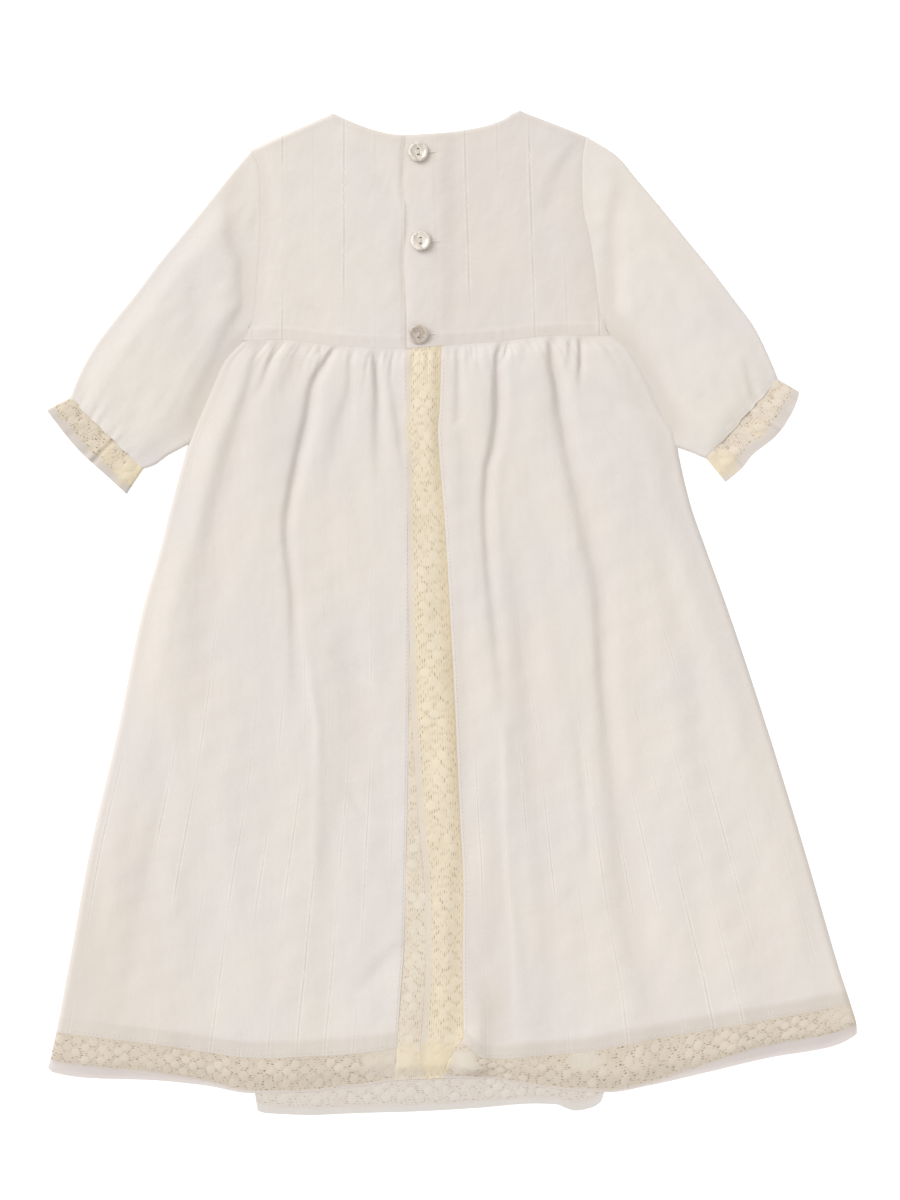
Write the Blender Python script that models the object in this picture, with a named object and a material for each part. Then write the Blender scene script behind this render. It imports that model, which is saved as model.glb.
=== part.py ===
"""A baby's long dress laid flat on its front, so that its buttoned back shows.

The model is in metres with +Z up. +Y runs towards the neck, +X is the right of someone who looks
down at the dress with the neck away from them, and the floor is z = 0 under the middle of it.
Every table below is in millimetres.

The front lies on the floor as flat cloth. The back lies on it and rises in soft gathers, which are
worked out from a table of creases. Each panel is a wall of even thickness that follows that form,
the sleeves and their lace frills are flattened tubes, and the skirt's opening and hems end in lace.
"""

import math
from typing import Callable, NamedTuple, Sequence

import bmesh
import bpy
import numpy as np
from mathutils import Matrix, Vector

MM = 0.001

# Walls and the clearances between them
CLOTH_WALL = 1.4
LACE_WALL = 1.2
SEAM_GAP = 0.3
LAYER_GAP = 0.3
LAP_GAP = 0.4
FRONT_LACE_INSET = 2.0

# Where the layers rest above the floor
BACK_REST = CLOTH_WALL + LAYER_GAP
LAP_RISE = CLOTH_WALL + LAP_GAP
LAP_RAMP = 10.0

# Lift of the loose cloth above its resting place
BODICE_LIFT = 0.8
SLEEVE_LIFT = 2.4
SIDE_RAMP = 20.0
ARMHOLE_RAMP = 15.0
SEAM_RAMP = 6.0

# Centre back closure
PLACKET_EDGE = -26.5
UNDERLAP_EDGE = -9.0

# Sleeve tube and its frill
SLEEVE_FOLD_RADIUS = 2.0
CUFF_GATHERS = 8
CUFF_GATHER_HEIGHT = 0.8
FRILL_WAVES = 5
FRILL_HEIGHT = 1.6

# Buttons
BUTTON_RADIUS = 5.7
BUTTON_HEIGHT = 2.0
BUTTON_HOLE_RADIUS = 0.8
BUTTON_HOLE_OFFSET = 1.5
BUTTON_SIDES = 28


class Sides(NamedTuple):
    """Both side edges of a panel at one height."""

    y: float
    left: float
    right: float


class Spot(NamedTuple):
    """One point of an edge seen from above."""

    x: float
    y: float


class At(NamedTuple):
    """One place along a crease: where it is, how far it sinks and half its width.

    A ridge is a crease that sinks less than nothing.
    """

    y: float
    x: float
    drop: float
    width: float


class Rise(NamedTuple):
    """How far the skirt lifts at a distance below the waist seam."""

    below: float
    lift: float


class Rung(NamedTuple):
    """One section of a sleeve, from its upper fold to its lower one."""

    upper_x: float
    upper_y: float
    lower_x: float
    lower_y: float


SKIRT_SIDES = (
    Sides(158, -118, 91),
    Sides(155, -119.5, 95),
    Sides(150, -127.5, 101),
    Sides(143, -135, 108),
    Sides(130, -140.5, 114.5),
    Sides(115, -147, 120.5),
    Sides(101, -151, 128),
    Sides(89.5, -152.5, 129),
    Sides(62, -160, 135.5),
    Sides(36, -166.5, 144.5),
    Sides(1.5, -176.5, 157),
    Sides(-66.5, -190.5, 179.5),
    Sides(-135, -206.5, 200.5),
    Sides(-203.5, -219, 220.5),
    Sides(-222, -222.5, 226.5),
    Sides(-238, -225.5, 230.5),
    Sides(-260, -230.5, 230.5),
)

ARMHOLES = (
    Sides(271, -114.5, 77),
    Sides(264, -114.5, 75.5),
    Sides(255.5, -111, 74.7),
    Sides(245.5, -109.5, 74.5),
    Sides(231.5, -109.5, 75),
    Sides(213, -109.5, 79),
    Sides(193, -111, 82),
    Sides(178.5, -112, 83.5),
    Sides(161.5, -115.5, 87.5),
    Sides(155, -119.5, 91),
)

SHOULDER_LEFT = Spot(-114.5, 264)
NECK_LEFT = Spot(-68.5, 284.5)
NECK_RIGHT = Spot(38.5, 286)
SHOULDER_RIGHT = Spot(77, 271)

BACK_NECK = (
    NECK_LEFT,
    Spot(-62, 281.5),
    Spot(-52.5, 277.5),
    Spot(-43.5, 274.5),
    Spot(-34.5, 272.5),
    Spot(-27.5, 272),
    Spot(-7, 273),
    Spot(11, 275.5),
    Spot(20, 277.5),
    Spot(29.5, 281),
    Spot(34, 284),
    NECK_RIGHT,
)

FRONT_NECK = (
    NECK_LEFT,
    Spot(-60, 266),
    Spot(-48, 252),
    Spot(-32, 243),
    Spot(-15, 240.5),
    Spot(2, 243),
    Spot(18, 252),
    Spot(30, 267),
    NECK_RIGHT,
)

WAIST = (
    Spot(-119.5, 155),
    Spot(-98.5, 155.5),
    Spot(-64, 152),
    Spot(-27.5, 150.5),
    Spot(-7, 152),
    Spot(27, 154.5),
    Spot(61.5, 158),
    Spot(91, 158),
)

BACK_HEM = (
    Spot(-225.5, -238.5),
    Spot(-200.5, -241.5),
    Spot(-166.5, -245.5),
    Spot(-144.5, -249),
    Spot(-111.5, -253),
    Spot(-68, -251.5),
    Spot(-33, -247.5),
    Spot(-18, -244),
    Spot(1.5, -243.5),
    Spot(6.5, -245),
    Spot(17.5, -253),
    Spot(30.5, -253.5),
    Spot(48, -252),
    Spot(74, -250),
    Spot(97, -245.5),
    Spot(131, -239.5),
    Spot(174.5, -232),
    Spot(226.5, -222.5),
)

BACK_LACE_EDGE = (
    Spot(-230.5, -259),
    Spot(-228, -261.5),
    Spot(-205.5, -265),
    Spot(-173.5, -266),
    Spot(-141.5, -269),
    Spot(-114.5, -273.5),
    Spot(-87, -273),
    Spot(-52.5, -269.5),
    Spot(-30, -266),
    Spot(-1.5, -265),
    Spot(18.5, -265),
    Spot(50.5, -270),
    Spot(68, -272),
    Spot(88.5, -273),
    Spot(112.5, -269),
    Spot(145.5, -261.5),
    Spot(182, -253),
    Spot(209.5, -248.5),
    Spot(219, -245),
    Spot(228, -240.5),
    Spot(230.5, -236.5),
)

FRONT_HEM = (
    Spot(-225.5, -235.5),
    Spot(-173.5, -243.5),
    Spot(-113, -256),
    Spot(-87, -262),
    Spot(13.5, -260.5),
    Spot(61.5, -258),
    Spot(87.5, -252.5),
    Spot(145.5, -239.5),
    Spot(226.5, -219.5),
)

FRONT_LACE_EDGE = (
    Spot(-228.5, -256),
    Spot(-205.5, -263),
    Spot(-173.5, -264),
    Spot(-141.5, -267),
    Spot(-113, -271),
    Spot(-111, -283.5),
    Spot(-105, -285),
    Spot(-81, -286),
    Spot(-55, -285),
    Spot(-21, -284),
    Spot(13.5, -282),
    Spot(47.5, -279.5),
    Spot(59.5, -280),
    Spot(64.5, -282),
    Spot(70, -283.5),
    Spot(78.5, -282),
    Spot(84.5, -278.5),
    Spot(87.5, -271),
    Spot(112.5, -267),
    Spot(145.5, -259.5),
    Spot(182, -251),
    Spot(209.5, -246),
    Spot(228.5, -238),
)

# The right lace strip lies over the left one, which comes into sight lower down.
RIGHT_STRIP = (
    Sides(152, -26.5, -6.5),
    Sides(117, -26.5, -7.5),
    Sides(103.5, -28, -8.5),
    Sides(93.5, -26, -8),
    Sides(50, -25.5, -4.5),
    Sides(7.5, -25, -2),
    Sides(-49.5, -23.5, 1),
    Sides(-106.5, -20, 3.5),
    Sides(-163.5, -15.5, 6),
    Sides(-192, -15, 5.5),
    Sides(-241, -17.5, 6),
    Sides(-247.5, -18, 1.5),
    Sides(-256, -18, -3.5),
    Sides(-265.5, -18, -7),
)

LEFT_STRIP = (
    Sides(151, -25.5, -6.5),
    Sides(64.5, -24, -3.5),
    Sides(-84, -25, -2.5),
    Sides(-135, -26, -3.5),
    Sides(-192, -27.5, -6),
    Sides(-220.5, -29.5, -7),
    Sides(-243.5, -31, -9),
    Sides(-266, -31.5, -9.5),
)

SKIRT_LIFT = (
    Rise(0, 0.8),
    Rise(4, 2.0),
    Rise(10, 3.0),
    Rise(30, 3.4),
    Rise(80, 3.0),
    Rise(160, 2.6),
    Rise(260, 2.0),
    Rise(380, 1.2),
    Rise(430, 0.7),
)

CREASES = {
    "outer left": (
        At(153.5, -109.5, 2.5, 2.5),
        At(137, -113, 2.5, 3),
        At(111.5, -120, 2.2, 4),
        At(81.5, -128.5, 2, 5.5),
        At(47.5, -136, 1.7, 6.5),
        At(7.5, -141.5, 1.3, 8),
        At(-44, -145, 0.8, 9),
        At(-89.5, -155.5, 0, 10),
    ),
    "short left": (
        At(154.5, -99, 1.8, 2),
        At(144, -103, 1.6, 2.5),
        At(130, -108, 1.2, 3),
        At(120.5, -112, 0, 3),
    ),
    "soft left": (
        At(153.5, -86.5, 1.2, 3.5),
        At(141.5, -89, 1.4, 5),
        At(128, -94, 1, 6),
        At(110, -96, 0, 7),
    ),
    "deep left": (
        At(151, -67, 2.2, 1.8),
        At(144, -71.5, 2.4, 2.4),
        At(130, -79, 3, 3),
        At(110, -82.5, 3.2, 3.2),
        At(81.5, -89, 2.8, 3),
        At(47.5, -94, 2.2, 3),
        At(7.5, -90.5, 1.6, 3),
        At(-44, -89, 0.5, 4),
        At(-66.5, -88.5, 0, 5),
    ),
    "slanting left": (
        At(149, -57.5, 0.8, 1.8),
        At(130, -58, 1.2, 3),
        At(98.5, -65.5, 1.2, 6),
        At(64.5, -68, 0.8, 9),
        At(30, -67, 0, 10),
    ),
    "low left": (
        At(7.5, -62.5, 0, 8),
        At(-22, -61.5, 1, 9),
        At(-44, -57.5, 1.5, 10),
        At(-84, -58.5, 1.3, 9),
        At(-129.5, -66.5, 1, 12),
        At(-175, -67, 0, 12),
    ),
    "inner left": (
        At(149, -44.5, 1.6, 1.8),
        At(141, -43.5, 2.6, 2.4),
        At(130, -42.5, 2.4, 2.4),
        At(98.5, -42, 1.5, 3.5),
        At(70, -41.5, 0, 4),
    ),
    "beside the opening": (
        At(150, -35.5, 0.8, 3),
        At(133, -33.5, 0.9, 4),
        At(115.5, -31.5, 1.2, 3),
        At(98.5, -29.5, 1, 2.5),
        At(81.5, -27.5, 0, 3),
    ),
    "beside the lace": (
        At(151, -7, 0.8, 4),
        At(104.5, -7.5, 1.5, 5),
        At(47.5, -5.5, 1.7, 6),
        At(7.5, -3, 1.6, 7),
        At(-49.5, 0.5, 1.3, 8),
        At(-106.5, 3, 1.3, 8),
        At(-163.5, 6, 1.2, 8),
        At(-220.5, 6, 0.8, 8),
        At(-246, 6, 0, 6),
    ),
    "short inner": (
        At(150, 3, 1, 1.6),
        At(133, 3.5, 1.4, 2),
        At(111.5, 3, 1, 2.4),
        At(102.5, -2, 0, 2),
    ),
    "deep inner": (
        At(153.5, 27.5, 1.8, 1.8),
        At(143.5, 25.5, 2.6, 2.2),
        At(117, 26, 3.4, 3.2),
        At(95, 23.5, 3, 3.2),
        At(80.5, 20, 2.4, 2.8),
        At(60, 19, 2, 2.8),
        At(43.5, 19.5, 1.8, 2.8),
        At(7.5, 22.5, 1.4, 3),
        At(-32, 26.5, 0.8, 3),
        At(-61, 29, 0, 3),
    ),
    "broad middle": (
        At(153, 43, 0.8, 3),
        At(138.5, 39.5, 0.4, 4),
        At(64.5, 30.5, 0.6, 6),
        At(30, 34.5, 1.2, 7),
        At(7.5, 38, 1.6, 8),
        At(-38, 43, 2, 8),
        At(-84, 47, 1.8, 9),
        At(-175, 54, 1.4, 8),
        At(-249, 57.5, 0.6, 8),
    ),
    "deep outer": (
        At(153, 56, 2, 2.4),
        At(144, 56.5, 3, 2.8),
        At(130, 59.5, 3.6, 3.2),
        At(110, 62.5, 3.2, 4.2),
        At(81.5, 68, 2.4, 4.5),
        At(47.5, 76, 2.4, 5.5),
        At(7.5, 84, 2.6, 5),
        At(-38, 86, 2.6, 4.5),
        At(-84, 90.5, 1.8, 5.5),
        At(-129.5, 96.5, 1.4, 7),
        At(-175, 100.5, 1.2, 8),
        At(-215, 113.5, 1.2, 9),
        At(-246, 118.5, 0.6, 9),
    ),
    "short outer": (
        At(154.5, 67, 1.2, 1.5),
        At(145.5, 66.5, 1, 1.8),
        At(137.5, 66, 0, 2),
    ),
    "thin outer": (
        At(157, 72.5, 1.6, 1.4),
        At(144, 73, 1.8, 1.6),
        At(133, 72.5, 0.8, 2),
        At(126, 72.5, 0, 2),
    ),
    "slanting right": (
        At(137.5, 74.5, 0.8, 5),
        At(129, 78.5, 1, 6),
        At(120.5, 92, 1, 7),
        At(111, 107, 0, 8),
    ),
    "low right": (
        At(-163.5, 175.5, 0, 12),
        At(-215, 186.5, 1, 12),
        At(-240.5, 192.5, 0.6, 10),
    ),
    "turned hem": (
        At(-234, 12, 0, 6),
        At(-245, 10, -2.2, 7),
        At(-256, 9, -2.4, 8),
        At(-266, 8, -1.2, 8),
    ),
    "behind the turned hem": (
        At(-236, 18, 0, 4),
        At(-247, 22, 1, 4.5),
        At(-257, 24, 1.2, 5),
        At(-268, 28, 0.6, 5),
    ),
}

LEFT_SLEEVE = (
    Rung(-115.5, 264.2, -120.5, 156.2),
    Rung(-127, 250.3, -128.7, 151),
    Rung(-138, 235.7, -136.3, 143.4),
    Rung(-152.5, 217.2, -141.8, 131),
    Rung(-167.5, 199, -147, 118),
    Rung(-181.5, 180.5, -151, 107),
    Rung(-196, 162.5, -154.5, 97.5),
    Rung(-205.5, 149, -162.5, 89.5),
    Rung(-212.5, 136, -170, 84),
    Rung(-218, 122.5, -176, 82),
)

RIGHT_SLEEVE = (
    Rung(78, 271.2, 92, 159.2),
    Rung(94.5, 260.5, 102, 151.5),
    Rung(106, 246.5, 109.3, 143.4),
    Rung(119, 230.5, 115.8, 130.2),
    Rung(133, 213, 121.8, 116),
    Rung(147, 196, 129, 102),
    Rung(161, 177.5, 133, 94.5),
    Rung(172, 162.5, 137.5, 91),
    Rung(181, 144, 141.5, 89),
    Rung(185.5, 133, 144.5, 88),
)

LEFT_SLEEVE_FOLD = (
    At(256, -121.5, 0, 3),
    At(240, -125, 1, 4),
    At(221.5, -127, 1.2, 5),
    At(196, -118.5, 1.4, 4.5),
    At(167.5, -124.5, 1.4, 4),
    At(150, -131, 0.8, 3.5),
)

RIGHT_SLEEVE_FOLD = (
    At(250, 88, 0, 3),
    At(225, 84, 0.8, 4),
    At(200, 88, 1.4, 4.5),
    At(178, 91, 1.4, 4),
    At(165, 96, 0.8, 4),
)

LEFT_FRILL_SEAM = (Spot(-218.4, 122.2), Spot(-176.3, 81.5))
LEFT_FRILL_EDGE = (
    Spot(-230.5, 115),
    Spot(-223.5, 107),
    Spot(-201, 83),
    Spot(-186, 67),
)
RIGHT_FRILL_SEAM = (Spot(186, 132.7), Spot(144.9, 87.5))
RIGHT_FRILL_EDGE = (
    Spot(197.5, 126),
    Spot(194, 117),
    Spot(181, 97),
    Spot(170, 89),
    Spot(163.5, 81),
    Spot(155.5, 74.5),
)

BUTTONS = {
    "button_top": Spot(-19.3, 261.9),
    "button_middle": Spot(-17.9, 211.3),
    "button_bottom": Spot(-19.2, 158.7),
}

CREAM_CLOTH = (0.79, 0.745, 0.69)
ECRU_LACE = (0.74, 0.64, 0.5)
PEARL = (0.62, 0.56, 0.49)

Line = Callable[[np.ndarray], np.ndarray]


def smooth(keys: Sequence[float], values: Sequence[float]) -> Line:
    """Returns a curve through the values that adds no bumps of its own between them."""
    order = np.argsort(keys)
    at = np.asarray(keys, float)[order]
    value = np.asarray(values, float)[order]
    step = np.diff(at)
    slope = np.diff(value) / step
    tangent = np.zeros(len(at))
    tangent[0], tangent[-1] = slope[0], slope[-1]
    before, after = slope[:-1], slope[1:]
    same_way = before * after > 0
    tangent[1:-1][same_way] = (2 * before * after)[same_way] / (before + after)[same_way]

    def curve(wanted: np.ndarray) -> np.ndarray:
        place = np.clip(wanted, at[0], at[-1])
        i = np.clip(np.searchsorted(at, place) - 1, 0, len(step) - 1)
        t = (place - at[i]) / step[i]
        rise = value[i + 1] - value[i]
        start, end = tangent[i] * step[i], tangent[i + 1] * step[i]
        return value[i] + t * (start + t * (3 * rise - 2 * start - end + t * (start + end - 2 * rise)))

    return curve


def ramp(share: np.ndarray) -> np.ndarray:
    """Rises softly from 0 to 1 as share does."""
    t = np.clip(share, 0, 1)
    return t * t * (3 - 2 * t)


def edge_line(spots: Sequence[Spot]) -> Line:
    """Returns y as a curve of x through the spots."""
    return smooth([spot.x for spot in spots], [spot.y for spot in spots])


def straight_line(spots: Sequence[Spot]) -> Line:
    """Returns y along the straight stretches between the spots."""
    return lambda x: np.interp(x, [spot.x for spot in spots], [spot.y for spot in spots])


def side_lines(rows: Sequence[Sides]) -> tuple[Line, Line]:
    """Returns the left and the right edge, each as x along y."""
    heights = [row.y for row in rows]
    return smooth(heights, [row.left for row in rows]), smooth(heights, [row.right for row in rows])


def moved(line: Line, distance: float) -> Line:
    """Returns the line shifted by a distance."""
    return lambda at: line(at) + distance


def top_line(neck: Sequence[Spot]) -> Line:
    """Returns the upper edge of a bodice: straight shoulders on each side of a curved neck."""
    curve = edge_line(neck)
    straight = (SHOULDER_LEFT, NECK_LEFT, NECK_RIGHT, SHOULDER_RIGHT)

    def line(x: np.ndarray) -> np.ndarray:
        shoulders = np.interp(x, [spot.x for spot in straight], [spot.y for spot in straight])
        inside = (x > NECK_LEFT.x) & (x < NECK_RIGHT.x)
        return np.where(inside, curve(x), shoulders)

    return line


waist = edge_line(WAIST)
back_hem = edge_line(BACK_HEM)
front_hem = straight_line(FRONT_HEM)
skirt_left, skirt_right = side_lines(SKIRT_SIDES)
armhole_left, armhole_right = side_lines(ARMHOLES)
right_strip_left, right_strip_right = side_lines(RIGHT_STRIP)
left_strip_left, left_strip_right = side_lines(LEFT_STRIP)
skirt_lift = smooth([row.below for row in SKIRT_LIFT], [row.lift for row in SKIRT_LIFT])


class Crease:
    """A soft trough in the cloth, read from its table."""

    def __init__(self, rows: Sequence[At]) -> None:
        heights = [row.y for row in rows]
        self.centre = smooth(heights, [row.x for row in rows])
        self.drop = smooth(heights, [row.drop for row in rows])
        self.width = smooth(heights, [row.width for row in rows])

    def depth(self, x: np.ndarray, y: np.ndarray) -> np.ndarray:
        """Returns how far it sinks the cloth at each place."""
        return self.drop(y) * np.exp(-(((x - self.centre(y)) / self.width(y)) ** 2))

    def crowding(self, x: np.ndarray, y: np.ndarray) -> np.ndarray:
        """Returns how much closer the points of a panel lie where it runs."""
        reach = 2.0 * self.width(y)
        return np.abs(self.drop(y)) / reach * np.exp(-(((x - self.centre(y)) / reach) ** 2))


skirt_creases = [Crease(rows) for rows in CREASES.values()]


def skirt_relief(x: np.ndarray, y: np.ndarray) -> np.ndarray:
    """Returns the height of the back skirt's underside above where it would rest flat."""
    below = np.maximum(waist(x) - y, 0)
    inside = np.minimum(x - skirt_left(y), skirt_right(y) - x)
    lift = skirt_lift(below) * ramp(inside / SIDE_RAMP)
    gathered = 0.3 + 0.7 * ramp(below / SEAM_RAMP)
    sunk = sum(crease.depth(x, y) for crease in skirt_creases)
    return np.maximum(lift - gathered * sunk, 0)


def bodice_relief(x: np.ndarray, y: np.ndarray) -> np.ndarray:
    """Returns the height of the back bodice's underside above where it would rest flat."""
    inside = np.minimum(x - armhole_left(y), armhole_right(y) - x)
    return BODICE_LIFT * ramp(inside / ARMHOLE_RAMP)


def skirt_lap(x: np.ndarray, y: np.ndarray) -> np.ndarray:
    """Returns the extra height of the right skirt where it passes over the left lace strip."""
    return LAP_RISE * ramp((left_strip_right(y) + 1.5 + LAP_RAMP - x) / LAP_RAMP)


def bodice_lap(x: np.ndarray, y: np.ndarray) -> np.ndarray:
    """Returns the extra height of the right bodice where it passes over the left one."""
    return LAP_RISE * ramp((UNDERLAP_EDGE + 1.5 + LAP_RAMP - x) / LAP_RAMP)


def stations(breaks: Sequence[float], counts: Sequence[int]) -> np.ndarray:
    """Returns even steps between each pair of breaks."""
    runs = [np.linspace(a, b, n, endpoint=False) for a, b, n in zip(breaks, breaks[1:], counts)]
    return np.concatenate([*runs, breaks[-1:]])


def evenly(left: Line, right: Line) -> Callable[[np.ndarray, np.ndarray], np.ndarray]:
    """Returns the rule that spreads a panel's columns evenly between its side edges."""
    return lambda y, share: left(y) + share * (right(y) - left(y))


def crowded(left: Line, right: Line) -> Callable[[np.ndarray, np.ndarray], np.ndarray]:
    """Returns the rule that crowds a panel's columns where creases run."""
    probe = np.linspace(0, 1, 241)

    def place(y: np.ndarray, share: np.ndarray) -> np.ndarray:
        x = left(y)[:, None] + probe * (right(y) - left(y))[:, None]
        rows = np.broadcast_to(y[:, None], x.shape)
        weight = 0.12 + sum(crease.crowding(x, rows) for crease in skirt_creases)
        total = np.cumsum((weight[:, 1:] + weight[:, :-1]) / 2 * np.diff(x, axis=1), axis=1)
        total = np.concatenate([np.zeros((len(y), 1)), total], axis=1)
        return np.array([np.interp(s * run[-1], run, at) for s, run, at in zip(share, total, x)])

    return place


def panel_places(
    place: Callable[[np.ndarray, np.ndarray], np.ndarray],
    top: Line,
    bottom: Line,
    across: np.ndarray,
    down: np.ndarray,
) -> tuple[np.ndarray, np.ndarray]:
    """Returns x and y of a panel's points, in rows from its top edge to its bottom edge."""

    def meet(edge: Line) -> np.ndarray:
        x = place(np.full(len(across), edge(np.zeros(1))[0]), across)
        for _ in range(12):
            x = place(edge(x), across)
        return edge(x)

    upper, lower = meet(top), meet(bottom)
    y = upper + down[:, None] * (lower - upper)
    x = np.array([place(row, across) for row in y])
    return x, y


def material(name: str, colour: tuple[float, float, float], roughness: float) -> bpy.types.Material:
    """Returns a plain material for one piece."""
    made = bpy.data.materials.new(name)
    made.use_nodes = True
    shader = made.node_tree.nodes["Principled BSDF"]
    shader.inputs["Base Color"].default_value = (*colour, 1.0)
    shader.inputs["Roughness"].default_value = roughness
    shader.inputs["Metallic"].default_value = 0.0
    return made


def add_object(name: str, mesh: bmesh.types.BMesh, colour: tuple[float, float, float],
               roughness: float) -> bpy.types.Object:
    """Puts a closed mesh in the scene, facing out, in metres."""
    bmesh.ops.recalc_face_normals(mesh, faces=mesh.faces)
    if mesh.calc_volume(signed=True) < 0:
        bmesh.ops.reverse_faces(mesh, faces=mesh.faces)
    bmesh.ops.scale(mesh, vec=Vector((MM, MM, MM)), verts=mesh.verts)
    data = bpy.data.meshes.new(name)
    mesh.to_mesh(data)
    mesh.free()
    data.shade_smooth()
    data.set_sharp_from_angle(angle=math.radians(50))
    data.materials.append(material(name, colour, roughness))
    piece = bpy.data.objects.new(name, data)
    bpy.context.scene.collection.objects.link(piece)
    return piece


def triangles(mesh: bmesh.types.BMesh, a, b, c, d) -> None:
    """Fills a four-sided gap with two triangles that share the a-c diagonal."""
    mesh.faces.new((a, b, c))
    mesh.faces.new((a, c, d))


def slab(name: str, x: np.ndarray, y: np.ndarray, under: np.ndarray, wall: float,
         colour: tuple[float, float, float]) -> bpy.types.Object:
    """Makes a panel as one closed wall whose underside has the given heights."""
    mesh = bmesh.new()
    rows, columns = x.shape

    def layer(rise: float) -> list[list[bmesh.types.BMVert]]:
        return [
            [mesh.verts.new((x[r, c], y[r, c], under[r, c] + rise)) for c in range(columns)]
            for r in range(rows)
        ]

    lower, upper = layer(0.0), layer(wall)
    for r in range(rows - 1):
        for c in range(columns - 1):
            triangles(mesh, upper[r][c], upper[r + 1][c], upper[r + 1][c + 1], upper[r][c + 1])
            triangles(mesh, lower[r + 1][c + 1], lower[r + 1][c], lower[r][c], lower[r][c + 1])
    rim = (
        [(0, c) for c in range(columns)]
        + [(r, columns - 1) for r in range(1, rows)]
        + [(rows - 1, c) for c in range(columns - 2, -1, -1)]
        + [(r, 0) for r in range(rows - 2, 0, -1)]
    )
    for (r, c), (next_r, next_c) in zip(rim, rim[1:] + rim[:1]):
        triangles(mesh, lower[r][c], upper[r][c], upper[next_r][next_c], lower[next_r][next_c])
    return add_object(name, mesh, colour, 0.85)


def tube(name: str, outer: np.ndarray, inner: np.ndarray,
         colour: tuple[float, float, float]) -> bpy.types.Object:
    """Makes a tube open at both ends from the rings of its outer and inner faces."""
    mesh = bmesh.new()
    outside = [[mesh.verts.new(point) for point in ring] for ring in outer]
    inside = [[mesh.verts.new(point) for point in ring] for ring in inner]
    count = outer.shape[1]
    for i in range(count):
        j = (i + 1) % count
        for r in range(len(outer) - 1):
            triangles(mesh, outside[r][i], outside[r + 1][i], outside[r + 1][j], outside[r][j])
            triangles(mesh, inside[r][j], inside[r + 1][j], inside[r + 1][i], inside[r][i])
        triangles(mesh, inside[0][i], outside[0][i], outside[0][j], inside[0][j])
        triangles(mesh, outside[-1][i], inside[-1][i], inside[-1][j], outside[-1][j])
    return add_object(name, mesh, colour, 0.85)


def flat_tube_rings(upper: np.ndarray, lower: np.ndarray, bend: np.ndarray, wall: float,
                    puff: Callable[[np.ndarray, np.ndarray, np.ndarray, float], np.ndarray],
                    columns: int) -> tuple[np.ndarray, np.ndarray]:
    """Returns the outer and inner rings of a tube pressed flat between two folded edges.

    upper and lower hold the ends of each section, bend moves a section's points sideways, and puff
    gives the rise of the upper wall at x, y, the share across and the share along.
    """
    half = wall + LAYER_GAP / 2
    outer, inner = [], []
    for row, (start, end) in enumerate(zip(upper, lower)):
        along = row / (len(upper) - 1)
        width = float(np.hypot(*(end - start)))
        near = np.array([0, 0.5, 1.4]) / width
        shares = np.concatenate([near[:2], np.linspace(near[2], 1 - near[2], columns - 3), 1 - near[1::-1]])

        def ring(away: float) -> list[tuple[float, float, float]]:
            """Returns one closed section whose points lie away from the fold by at least that much."""
            inset = away / width
            t = inset + shares * (1 - 2 * inset)
            reach = np.minimum(t, 1 - t) * width
            round_off = np.sqrt(1 - (1 - np.clip(reach / SLEEVE_FOLD_RADIUS, 0, 1)) ** 2)
            xy = start + t[:, None] * (end - start)
            xy[:, 0] += np.interp(t, np.linspace(0, 1, bend.shape[1]), bend[row])
            thin = wall if away else 0.0
            over = half + half * round_off + puff(xy[:, 0], xy[:, 1], t, along) * round_off - thin
            beneath = half - half * round_off + thin
            if away:
                over[[0, -1]] = beneath[[0, -1]] = half
            else:
                beneath[[0, -1]] = over[[0, -1]] = half
            top = [(a, b, z) for (a, b), z in zip(xy, over)]
            bottom = [(a, b, z) for (a, b), z in zip(xy, beneath)]
            return top + bottom[-2:0:-1]

        outer.append(ring(0.0))
        inner.append(ring(wall + 0.3))
    return np.array(outer), np.array(inner)


def sleeve(name: str, rungs: Sequence[Rung], armhole: Line, clear: float, fold: Sequence[At]) -> None:
    """Makes one sleeve as a flattened tube from the armhole to the gathered cuff."""
    share = np.linspace(0, 1, len(rungs))
    steps = stations((0, 0.25, 0.85, 1), (4, 6, 3))
    ends = [smooth(share, [rung[i] for rung in rungs])(steps) for i in range(4)]
    upper, lower = np.stack(ends[:2], axis=1), np.stack(ends[2:], axis=1)
    t = np.linspace(0, 1, 41)
    seam_y = upper[0, 1] + t * (lower[0, 1] - upper[0, 1])
    chord_x = upper[0, 0] + t * (lower[0, 0] - upper[0, 0])
    off_chord = armhole(seam_y) + clear - chord_x
    off_chord -= (1 - t) * off_chord[0] + t * off_chord[-1]
    bend = np.array([off_chord * ramp(1 - step / 0.4) for step in steps])
    crease = Crease(fold)

    def puff(x: np.ndarray, y: np.ndarray, across: np.ndarray, along: float) -> np.ndarray:
        belly = ramp(np.minimum(across, 1 - across) / 0.25)
        lift = SLEEVE_LIFT * belly * ramp(np.full(len(x), steps[round(along * (len(steps) - 1))] / 0.2))
        gathers = 0.5 - 0.5 * np.cos(2 * math.pi * CUFF_GATHERS * across)
        near_cuff = ramp((steps[round(along * (len(steps) - 1))] - 0.8) / 0.2)
        lift = lift * (1 - 0.7 * near_cuff) + CUFF_GATHER_HEIGHT * gathers * near_cuff * belly
        return np.maximum(lift - crease.depth(x, y), 0)

    tube(name, *flat_tube_rings(upper, lower, bend, CLOTH_WALL, puff, 22), CREAM_CLOTH)


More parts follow.
